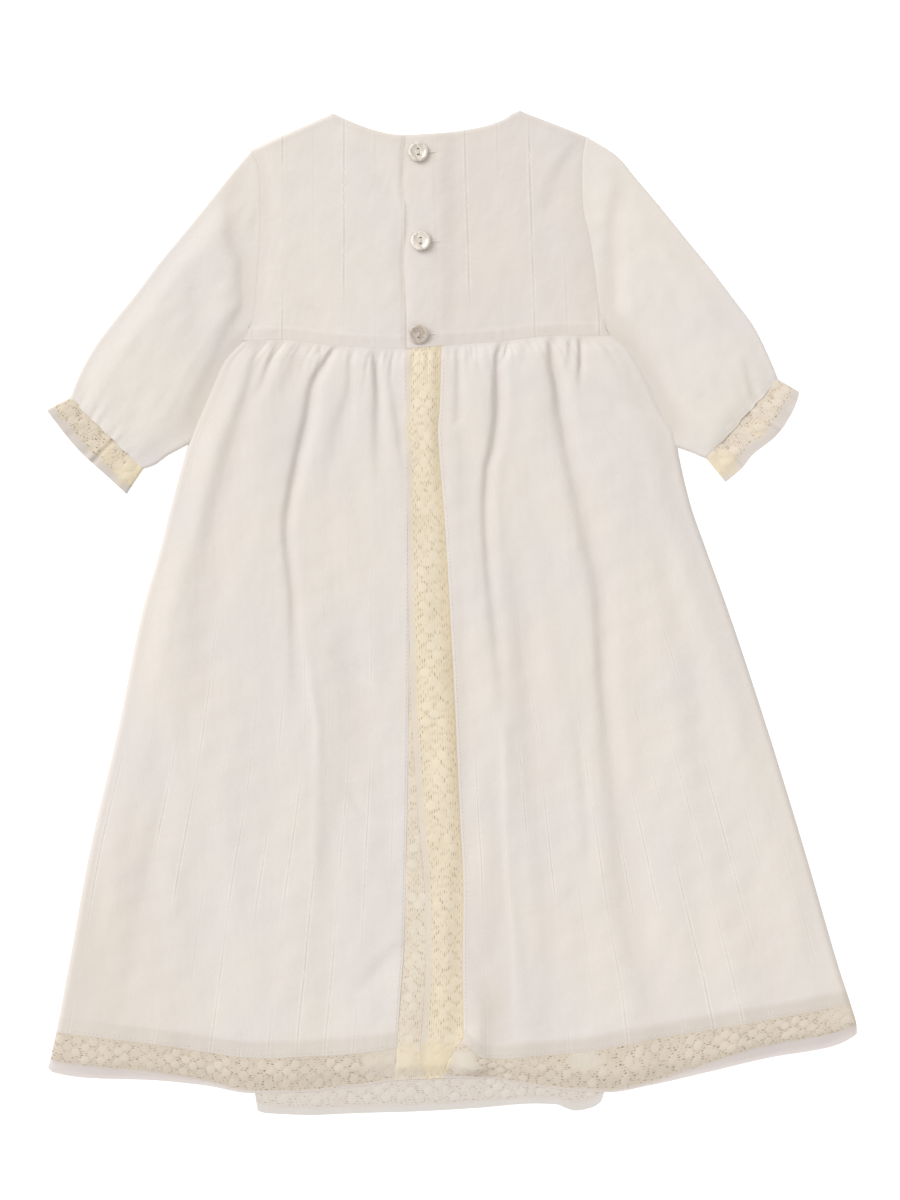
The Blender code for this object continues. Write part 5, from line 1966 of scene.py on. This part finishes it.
@dataclass
class Sleeve(Sheet):
    """A sleeve as a flattened tube, from the armhole to the gathered cuff."""

    side: Side
    rungs: Sequence[Row]
    folds: Sequence[Sequence[Row]]
    cut_length: float = 190.0
    cut_half_width: float = 120.0
    rows: int = 96
    tube: FlatTube = FlatTube(74, 24, CLOTH_WALL + LAYER_GAP / 2)

    def lay(self) -> Cloth:
        """Lays out the sleeve.

        Returns:
            Its points.
        """
        right_side = self.side is Side.RIGHT
        armhole, clear = (armhole_right, -0.5) if right_side else (armhole_left, 0.5)
        share = np.linspace(0, 1, len(self.rungs))
        steps = stations((0, 0.1, 0.85, 1), (12, self.rows - 36, 24))
        ends = [smooth(share, [rung[i] for rung in self.rungs])(steps) for i in range(4)]
        upper, lower = np.stack(ends[:2], axis=1), np.stack(ends[2:], axis=1)
        t = np.linspace(0, 1, 41)
        seam_y = upper[0, 1] + t * (lower[0, 1] - upper[0, 1])
        chord_x = upper[0, 0] + t * (lower[0, 0] - upper[0, 0])
        off_chord = armhole(seam_y) + clear - chord_x
        under_skirt = (-6.8 if right_side else 8.2) * ramp((t - 0.8) / 0.2)
        creases = [Crease(rows) for rows in self.folds]
        half = self.tube.half
        seed = 71 if right_side else 81
        rings = []
        for step, start, end in zip(steps, upper, lower):
            near_cuff = float(ramp((step - 0.8) / 0.2))

            def puff(x: Array, y: Array, across: Array) -> Array:
                """Finds how far the upper wall rises at this step.

                Args:
                    x: Places across the dress.
                    y: And along it.
                    across: Their shares of the way from fold to fold.

                Returns:
                    The rise at each place.
                """
                belly = ramp(np.minimum(across, 1 - across) / 0.25)
                gathers = 0.5 + 0.5 * ripples(9 * across, 0.6 * step, 1.1, seed + 4)
                lift = SLEEVE_LIFT * belly * ramp(step / 0.2) * (1 - 0.7 * near_cuff)
                lift += CUFF_GATHER_HEIGHT * gathers * near_cuff * belly
                head = max(0.0, 1 - step / 0.12) * min(1.0, step / 0.03)
                lift += 0.2 * head * belly * ripples(12 * across, x * 0.1, 1.0, seed + 3)
                calm = belly * min(1.0, step / 0.1)
                lift += calm * (0.26 * ripples(x, y, 36, seed) + 0.1 * ripples(x, y, 15, seed + 1))
                lift += 0.03 * ripples(x, y, 6.5, seed + 2)
                risen = lift - sum(crease.depth(x, y) for crease in creases)
                return (risen + np.sqrt(risen**2 + 0.12)) / 2 - 0.17

            bend = off_chord * ramp(1 - step / 0.4)
            bend = bend + under_skirt * ramp(step / 0.1) * (1 - ramp((step - 0.6) / 0.2))
            loose = ramp((step - 0.9) / 0.1) * ramp(np.minimum(t, 1 - t) / 0.12)
            bend = bend + 0.5 * loose * ripples(t * 8, t, 1.2, seed + 5)
            rings.append(self.tube.section(start, end, bend, puff))
        x, y, z, around = (np.array([ring[i] for ring in rings]) for i in range(4))
        near_seam = np.concatenate([[0], np.cumsum(np.hypot(np.diff(ends[0]), np.diff(ends[1])))])
        sunk = 0.06 if right_side else 0.3
        dip = sunk * (1 - ramp(near_seam / 2)) + 0.3 * ramp((steps - 0.95) / 0.05)
        z = z - np.where(z > half, dip[:, None], 0)
        across_it = around[:, self.tube.columns - 1 : self.tube.columns]
        from_fold = np.abs(across_it - around[:, :-1])
        beside = 1 - ramp((steps - 0.55) / 0.2)[:, None]
        near = ramp(1 - (from_fold - 3) / 9) * beside * (0.5 + 0.5 * ramp(near_seam / 8))[:, None]
        z = np.where(z > half, half + (z - half) * (1 - 0.44 * near), z)
        # Painted shade along the lower fold beside the skirt and in the creases; at the armhole the seam
        # allowance shows through
        doubled = 0.9 * ramp((19 - from_fold) / 12 if right_side else (13 - from_fold) / 7) * beside
        doubled = np.maximum(doubled, 0.5 * ramp(1 - near_seam / 1.5)[:, None])
        folded = sum(crease.depth(x, y) for crease in creases)
        doubled = np.maximum(doubled, 0.55 * np.clip(folded / 1.2, 0, 1))
        tucked_z = np.where(z[:1] > half, np.minimum(z[:1], 1.9), z[:1])
        x = np.concatenate([x[:1] + (-1.6 if right_side else 1.6), x])
        y, z = np.concatenate([y[:1], y]), np.concatenate([tucked_z, z])
        doubled = np.concatenate([doubled[:1], doubled])
        u = around * self.cut_half_width / across_it
        u = np.concatenate([u[:1], u])
        along = np.concatenate([[-0.01], steps]) * self.cut_length
        cloth = Cloth(x, y, z, u, np.repeat(along[:, None], u.shape[1], axis=1), doubled, True)
        return cloth.turned() if right_side else cloth


@dataclass
class CuffLace(Sheet):
    """The lace frill round a sleeve's end."""

    side: Side
    seam: Sequence[Spot]
    edge: Sequence[Spot]
    wave_height: float
    phase: float
    pleats: Sequence[float]
    waves: float = 5.0
    width: float = 15.4
    rows: int = 26
    tube: FlatTube = FlatTube(96, 40, LACE_WALL + LAYER_GAP / 2)
    dot_height: float = 0.18

    def lay(self) -> Cloth:
        """Lays out the frill.

        Returns:
            Its points.
        """
        first, last = np.array(self.edge[0]), np.array(self.edge[-1])
        run = np.cumsum([0, *[math.dist(a, b) for a, b in zip(self.edge, self.edge[1:])]])
        t = np.linspace(0, 1, 41)
        outline = [smooth(run / run[-1], [spot[i] for spot in self.edge])(t) for i in range(2)]
        chord = [first[i] + t * (last[i] - first[i]) for i in range(2)]
        slant = (last[0] - first[0]) / (last[1] - first[1])
        off_chord = outline[0] - chord[0] - (outline[1] - chord[1]) * slant
        steps = np.linspace(-0.1, 1, self.rows)
        rings = []
        for step in steps:
            free = max(step, 0.0)

            def puff(x: Array, y: Array, across: Array) -> Array:
                """Finds how far the upper wall rises at this step.

                Args:
                    x: Places across the dress.
                    y: And along it.
                    across: Their shares of the way from fold to fold.

                Returns:
                    The rise at each place.
                """
                turned = math.tau * self.waves * across + self.phase + 1.1 * np.sin(5 * across)
                rise = 0.1 + self.wave_height * free * (0.5 - 0.5 * np.cos(turned))
                rise = rise * ramp(np.minimum(across, 1 - across) / 0.08)
                for pleat in self.pleats:
                    off = across - pleat - 0.03 * free
                    rise += 0.8 * (bell(off + 0.04, 0.035) - 1.3 * bell(off, 0.021)) * (0.5 + 0.5 * free)
                rise += 0.12 * ripples(x, y, 9, 91)
                return np.maximum(rise, -0.6) + 0.15 * float(ramp(1 - step / 0.3))

            start, end = (seam + step * (edge - seam) for seam, edge in zip(self.seam, (first, last)))
            rings.append(self.tube.section(start, end, free * off_chord, puff))
        x, y, z, around = (np.array([ring[i] for ring in rings]) for i in range(4))
        v = LACE_WIDTH - self.width + np.repeat(steps[:, None], around.shape[1], axis=1) * self.width
        v = v + 0.5 * ripples(around, around * 0, 9, 93)
        u = around * 1.1
        dots = Dots.of(u[:, :-1], v[:, :-1], x, y)
        z = z + self.dot_height * dots.relief() * (z > self.tube.half)
        cloth = Cloth(x, y, z, u, v, spread_of(WARM_PATCHES, x, y), True, dots)
        return cloth.turned() if self.side is Side.RIGHT else cloth


def placket_top(x: Array, y: Array) -> Array:
    """Returns the height of the right bodice's upper face."""
    return BACK_FACE + bodice_form.height(x, y) + bodice_form.lap(x)


def cord(name: str, path: Array, half_width: Array, half_height: Array, side: Array, closed: bool) -> Mesh:
    """Makes a thick thread along a path.

    Args:
        name: The mesh's name.
        path: Its points.
        half_width: Half its width at each point.
        half_height: Half its height at each point.
        side: The direction of its width at each point.
        closed: Whether its end joins its start.

    Returns:
        The mesh.
    """
    along = np.roll(path, -1, axis=0) - np.roll(path, 1, axis=0)
    if not closed:
        along[0], along[-1] = path[1] - path[0], path[-1] - path[-2]
    up = np.cross(along, side)
    up = up / np.linalg.norm(up, axis=1, keepdims=True)
    rounds = 8
    turn = np.linspace(0, math.tau, rounds, endpoint=False)[:, None, None]
    ring = path + np.cos(turn) * side * half_width[:, None] + np.sin(turn) * up * half_height[:, None]
    count = len(path)
    faces = [(i * count + j, i * count + (j + 1) % count,
              (i + 1) % rounds * count + (j + 1) % count, (i + 1) % rounds * count + j)
             for i in range(rounds) for j in range(count if closed else count - 1)]
    data = new_mesh(name, ring.reshape(-1, 3), faces)
    data.shade_smooth()
    return data


def sewn_on(name: str, data: Mesh, material: Material) -> Object:
    """Makes a piece of sewing that lies on the cloth.

    Args:
        name: The piece's name.
        data: Its mesh.
        material: The sewing cotton.

    Returns:
        The piece.
    """
    data.materials.append(material)
    piece = link(name, data)
    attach(piece, "root")
    logger.info("%s sewn", name)
    return piece


@dataclass
class PearlButton:
    """A polished two-hole button with a dished face and a rim."""

    node: str
    centre: Spot
    lean: tuple[float, float]
    radius: float = 5.7
    hole_radius: float = 0.72
    hole_offset: float = 1.5
    profile: tuple[tuple[float, float], ...] = (
        (0, 0.1), (3.8, 0.05), (4.9, 0.15), (5.45, 0.45), (5.7, 0.85), (5.66, 1.2), (5.5, 1.6),
        (5.2, 1.86), (4.8, 1.95), (4.3, 1.93), (3.95, 1.82), (3.65, 1.66), (3.2, 1.54),
        (2.6, 1.48), (1.6, 1.45), (0, 1.45),
    )

    def lathe(self, name: str) -> Mesh:
        """Turns the body from its profile.

        Args:
            name: The mesh's name.

        Returns:
            The mesh.
        """
        sides = 64
        angles = np.linspace(0, math.tau, sides, endpoint=False)
        points = [(0.0, 0.0, self.profile[0][1])]
        for r, z in self.profile[1:-1]:
            points += [(r * math.cos(a), r * math.sin(a), z) for a in angles]
        points.append((0.0, 0.0, self.profile[-1][1]))
        faces = [(0, 1 + (i + 1) % sides, 1 + i) for i in range(sides)]
        for ring in range(len(self.profile) - 3):
            low = 1 + ring * sides
            faces += [(low + i, low + (i + 1) % sides, low + sides + (i + 1) % sides, low + sides + i)
                      for i in range(sides)]
        low = 1 + (len(self.profile) - 3) * sides
        faces += [(low + i, low + (i + 1) % sides, len(points) - 1) for i in range(sides)]
        return new_mesh(name, points, faces)

    def drill(self, piece: Object) -> None:
        """Drills the two thread holes.

        Args:
            piece: The body.
        """
        sides = 24
        angles = np.linspace(0, math.tau, sides, endpoint=False)
        for side in (-1, 1):
            points = [(self.hole_radius * math.cos(a),
                       side * self.hole_offset + self.hole_radius * math.sin(a), z)
                      for z in (-1, 4) for a in angles]
            faces = [(i, (i + 1) % sides, sides + (i + 1) % sides, sides + i) for i in range(sides)]
            faces += [tuple(range(sides))[::-1], tuple(range(sides, 2 * sides))]
            tool = link("drill", new_mesh("drill", points, faces))
            hole = piece.modifiers.new("Thread hole", "BOOLEAN")
            hole.operation, hole.solver, hole.object = "DIFFERENCE", "EXACT", tool
            shaped = piece.evaluated_get(bpy.context.evaluated_depsgraph_get())
            solid = bpy.data.meshes.new_from_object(shaped)
            piece.modifiers.clear()
            piece.data = solid
            bpy.data.objects.remove(tool)

    def seat(self) -> Matrix:
        """Finds how it lies on the placket.

        Returns:
            The move from the button's own middle.
        """
        x, y = np.array([self.centre.x]), np.array([self.centre.y])
        ground = float(placket_top(x, y)[0]) + LAYER_GAP
        over_x, over_y = (math.radians(angle) for angle in self.lean)
        raised = 0.55 * self.radius * math.hypot(over_x, over_y)
        place = Matrix.Translation(Vector((self.centre.x, self.centre.y, ground + raised)) * MM)
        return place @ Matrix.Rotation(over_x, 4, "X") @ Matrix.Rotation(over_y, 4, "Y")

    def build(self, material: Material, thread: Material) -> Object:
        """Makes the button and its thread.

        Args:
            material: The pearl.
            thread: The sewing cotton.

        Returns:
            The button.
        """
        name = "pearl_" + self.node
        piece = link(name, self.lathe(name))
        self.drill(piece)
        piece.data.materials.clear()
        piece.data.materials.append(material)
        piece.data.shade_smooth()
        piece.data.set_sharp_from_angle(angle=math.radians(45))
        piece.data.transform(self.seat())
        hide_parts(self.node)
        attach(piece, "root")
        logger.info("%s stands for %s", name, self.node)
        for number, shift in enumerate((-0.24, 0.24)):
            self.strand(f"thread_{self.node}_{number}", shift, thread)
        return piece

    def strand(self, name: str, shift: float, thread: Material) -> None:
        """Lays one strand of thread from hole to hole.

        Args:
            name: The strand's name.
            shift: How far it lies to one side.
            thread: The sewing cotton.
        """
        t = np.linspace(-1, 1, 33)
        y = t * self.hole_offset
        z = 0.25 + 1.5 * np.sqrt(np.clip(1 - np.abs(t) ** 5, 0, 1))
        path = np.column_stack([np.full(len(t), shift) * (1.2 - t * t), y, z])
        thick = np.full(len(t), 0.21)
        data = cord(name, path, thick, thick, np.tile((1.0, 0.0, 0.0), (len(t), 1)), False)
        data.transform(self.seat())
        sewn_on(name, data, thread)


@dataclass
class Buttonhole:
    """A horizontal buttonhole, bound with close stitches."""

    middle: float
    y: float
    straight: float = 5.9
    half_width: float = 1.0
    stitches: int = 60

    def build(self, name: str, thread: Material) -> Object:
        """Makes the bound edge.

        Args:
            name: The piece's name.
            thread: The sewing cotton.

        Returns:
            The piece.
        """
        bend = np.linspace(-math.pi / 2, math.pi / 2, 40)
        loop = [(end * (self.straight + self.half_width * np.cos(bend)),
                 end * self.half_width * np.sin(bend)) for end in (1, -1)]
        x, y = (np.concatenate([loop[0][i], loop[1][i]]) for i in range(2))
        x, y = np.append(x, x[0]), np.append(y, y[0])
        run = np.concatenate([[0], np.cumsum(np.hypot(np.diff(x), np.diff(y)))])
        along = np.linspace(0, run[-1], self.stitches * 4, endpoint=False)
        x, y = np.interp(along, run, x), np.interp(along, run, y)
        out = np.column_stack([np.roll(y, -1) - np.roll(y, 1), np.roll(x, 1) - np.roll(x, -1),
                               np.zeros(len(x))])
        out /= np.linalg.norm(out, axis=1, keepdims=True)
        x, y = x + self.middle, y + self.y
        path = np.column_stack([x, y, placket_top(x, y) + 0.02])
        thick = 0.85 + 0.15 * np.cos(along * math.tau * self.stitches / run[-1])
        return sewn_on(name, cord(name, path, 0.42 * thick, 0.2 * thick, out, True), thread)


@dataclass
class StitchLine:
    """A row of small machine stitches along a line that lies on the cloth."""

    points: Array
    pitch: float = 2.4
    length: float = 1.8
    width: float = 0.32

    def build(self, name: str, thread: Material) -> Object:
        """Makes the stitches.

        Args:
            name: The piece's name.
            thread: The sewing cotton.

        Returns:
            The piece.
        """
        gaps = np.linalg.norm(np.diff(self.points, axis=0), axis=1)
        run = np.concatenate([[0], np.cumsum(gaps)])
        corners, faces = [], []
        for at in np.arange(self.pitch, run[-1] - self.pitch, self.pitch):
            start, middle, end = (
                np.array([np.interp(at + shift, run, self.points[:, i]) for i in range(3)])
                for shift in (-self.length / 2, 0, self.length / 2)
            )
            along = (end - start) / np.linalg.norm(end - start)
            side = np.cross((0, 0, 1), along) * self.width / 2
            low = len(corners)
            corners += [start, end]
            for share in (0.2, 0.8):
                place = start + share * (end - start)
                place[2] += 0.02
                corners += [place + side, place + (0, 0, self.width * 0.55), place - side,
                            place - (0, 0, self.width * 0.3)]
            first, second = range(low + 2, low + 6), range(low + 6, low + 10)
            for i in range(4):
                j = (i + 1) % 4
                faces.append((low, first[j], first[i]))
                faces.append((first[i], first[j], second[j], second[i]))
                faces.append((low + 1, second[i], second[j]))
        data = new_mesh(name, corners, faces)
        data.shade_smooth()
        return sewn_on(name, data, thread)


@dataclass
class Sewing:
    """The rows of stitches that show, at the hem and the opening."""

    thread: Material

    def on_skirt(self, name: str, x: Array, y: Array, right_half: bool) -> None:
        """Sews a row on the back skirt."""
        z = BACK_FACE + skirt_form.height(x, y)
        z = z + (skirt_form.lap(x, y) if right_half else 0)
        StitchLine(np.column_stack([x, y, z])).build("stitches_" + name, self.thread)

    def build(self) -> None:
        """Sews them all."""
        x = np.linspace(-219, -34, 150)
        self.on_skirt("hem_left", x, back_hem(x) + 1.8, False)
        x = np.linspace(9, 219, 170)
        self.on_skirt("hem_right", x, back_hem(x) + 1.8, True)
        y = np.linspace(146, -240, 260)
        self.on_skirt("opening_left", left_strip_left(y) - 1.7, y, False)
        self.on_skirt("opening_right", right_strip_right(y) + 1.7, y, True)


@dataclass
class Studio:
    """A pale glowing floor, soft light from the upper left and a camera that looks straight down."""

    frame_height: float = 684.0
    look_at: Spot = Spot(-1.4, 7.4)
    lens: float = 85.0
    sensor: float = 36.0
    key_strength: float = 1.95
    key_softness: float = 44.0
    ambient: float = 0.7
    floor_reach: float = 6000.0
    floor_glow: float = 0.9

    def build(self) -> None:
        """Sets up the floor, the lights, the surroundings and the camera."""
        self.floor()
        self.lamp((-1.0, 0.75, 1.0))
        self.surroundings()
        self.camera()
        bpy.context.scene.view_settings.view_transform = "Standard"

    def floor(self) -> None:
        """Lays the floor just under the dress."""
        reach = self.floor_reach
        corners = [(-reach, -reach, 0), (reach, -reach, 0), (reach, reach, 0), (-reach, reach, 0)]
        data = new_mesh("floor", corners, [(0, 1, 2, 3)])
        made, _, shader = start_material("pale_floor")
        settle(shader, {"Base Color": (0.35, 0.36, 0.37, 1.0), "Roughness": 0.9,
                        "Specular IOR Level": 0.1, "Emission Color": (1.0, 1.0, 1.0, 1.0),
                        "Emission Strength": self.floor_glow})
        data.materials.append(made)
        piece = link("floor", data)
        piece.location.z = -0.2 * MM

    def lamp(self, place: tuple[float, float, float]) -> None:
        """Sends soft even light towards the dress.

        Args:
            place: Where it comes from.
        """
        data = bpy.data.lights.new("key light", "SUN")
        data.angle = math.radians(self.key_softness)
        data.energy = self.key_strength
        data.color = (0.985, 0.99, 1.0)
        lamp = link("key light", data)
        lamp.location = place
        lamp.rotation_euler = (-Vector(place)).to_track_quat("-Z", "Y").to_euler()

    def surroundings(self) -> None:
        """Fills the room with even light."""
        world = bpy.data.worlds.new("room")
        world.use_nodes = True
        settle(world.node_tree.nodes["Background"],
               {"Color": (1.0, 0.98, 0.945, 1.0), "Strength": self.ambient})
        bpy.context.scene.world = world

    def camera(self) -> None:
        """Hangs the camera over the dress, with the neck at the top of the picture."""
        data = bpy.data.cameras.new("camera")
        data.lens = self.lens
        data.sensor_width = self.sensor
        data.clip_end = 20.0
        camera = link("camera", data)
        distance = self.frame_height * self.lens / self.sensor
        camera.location = Vector((self.look_at.x, self.look_at.y, distance)) * MM
        bpy.context.scene.camera = camera


def sheets() -> list[Sheet]:
    """Lists every piece of cloth and lace.

    Returns:
        The pieces, in the order in which they are made.
    """
    cloth, lace, laid, gathered = Slot.CLOTH, Slot.LACE, Held.LAID, Held.GATHERED
    return [
        FrontBodice(Dressed("bodice_front", "front_bodice", cloth, "striped_cotton", laid, "floor",
                            (0.212, 0.13), 0.0225)),
        FrontSkirt(Dressed("skirt_front", "front_skirt", cloth, "striped_cotton", gathered, "floor",
                           (0.452, 0.42), 0.138)),
        HemLace(Dressed("lace_hem_front", "hem_lace_front", lace, "front_lace", laid, "floor",
                        (0.45, 0.024), 0.0105), None, 440, 28),
        BackBodice(Dressed("bodice_back_left", "back_bodice_left", cloth, "bodice_cotton", laid,
                           "bodice_front", (0.112, 0.13), 0.0128), Side.LEFT, 84),
        BackBodice(Dressed("bodice_back_right", "back_bodice_right", cloth, "bodice_cotton", laid,
                           "bodice_back_left", (0.116, 0.13), 0.0132), Side.RIGHT, 88),
        BackSkirt(Dressed("skirt_back_left", "back_skirt_left", cloth, "striped_cotton", gathered,
                          "skirt_front", (0.2, 0.41), 0.062), Side.LEFT, 209.0, 7.1, 142),
        BackSkirt(Dressed("skirt_back_right", "back_skirt_right", cloth, "striped_cotton", gathered,
                          "skirt_front", (0.226, 0.41), 0.07), Side.RIGHT, 238.0, 15.1, 156),
        HemLace(Dressed("lace_hem_left", "hem_lace_back_left", lace, "dotted_lace", laid,
                        "lace_hem_front", (0.203, 0.024), 0.0045), Side.LEFT, 300),
        HemLace(Dressed("lace_hem_right", "hem_lace_back_right", lace, "dotted_lace", laid,
                        "lace_hem_front", (0.238, 0.024), 0.0052), Side.RIGHT, 340),
        OpeningLace(Dressed("lace_opening_left", "opening_lace_left", lace, "under_lace", laid,
                            "skirt_front", (0.024, 0.42), 0.0095), Side.LEFT, 22, 400),
        OpeningLace(Dressed("lace_opening_right", "opening_lace_right", lace, "doubled_lace", laid,
                            "lace_opening_left", (0.024, 0.42), 0.0095), Side.RIGHT),
        Sleeve(Dressed("sleeve_cloth_left", "sleeve_left", cloth, "sleeve_cotton", laid, "floor",
                       (0.216, 0.175), 0.0196), Side.LEFT, LEFT_SLEEVE, LEFT_SLEEVE_FOLDS),
        Sleeve(Dressed("sleeve_cloth_right", "sleeve_right", cloth, "sleeve_cotton", laid, "floor",
                       (0.216, 0.175), 0.0196), Side.RIGHT, RIGHT_SLEEVE, RIGHT_SLEEVE_FOLDS),
        CuffLace(Dressed("frill_left", "cuff_lace_left", lace, "cuff_lace", gathered, "floor",
                         (0.15, 0.0165), 0.0024),
                 Side.LEFT, LEFT_FRILL_SEAM, LEFT_FRILL_EDGE, 0.5, 0.6, (0.6,)),
        CuffLace(Dressed("frill_right", "cuff_lace_right", lace, "pale_cuff_lace", gathered, "floor",
                         (0.15, 0.0165), 0.0024),
                 Side.RIGHT, RIGHT_FRILL_SEAM, RIGHT_FRILL_EDGE, 0.9, 1.8, (0.42, 0.78)),
    ]


def closures(materials: Materials) -> None:
    """Makes the buttons, their thread and the buttonholes.

    Args:
        materials: Every finish by its name.
    """
    thread = materials["sewing_thread"]
    for name, spot, lean, pearl in (
        ("top", Spot(-19.3, 261.9), (-3, -3), "mother_of_pearl"),
        ("middle", Spot(-17.9, 211.3), (-5, -6), "mother_of_pearl"),
        ("bottom", Spot(-19.2, 158.5), (21, 0), "shaded_pearl"),
    ):
        PearlButton("button_" + name, spot, lean).build(materials[pearl], thread)
        Buttonhole(spot.x + 3.2, spot.y - 0.8).build("buttonhole_" + name, thread)


def main() -> None:
    """Loads the frame and makes the dress and its surroundings."""
    logging.basicConfig(level=logging.INFO, format="%(name)s: %(message)s")
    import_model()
    materials = {finish.name: finish.build() for finish in FINISHES}
    for sheet in sheets():
        sheet.build(materials)
    closures(materials)
    Sewing(materials["sewing_thread"]).build()
    Studio().build()


if __name__ == "__main__":
    main()
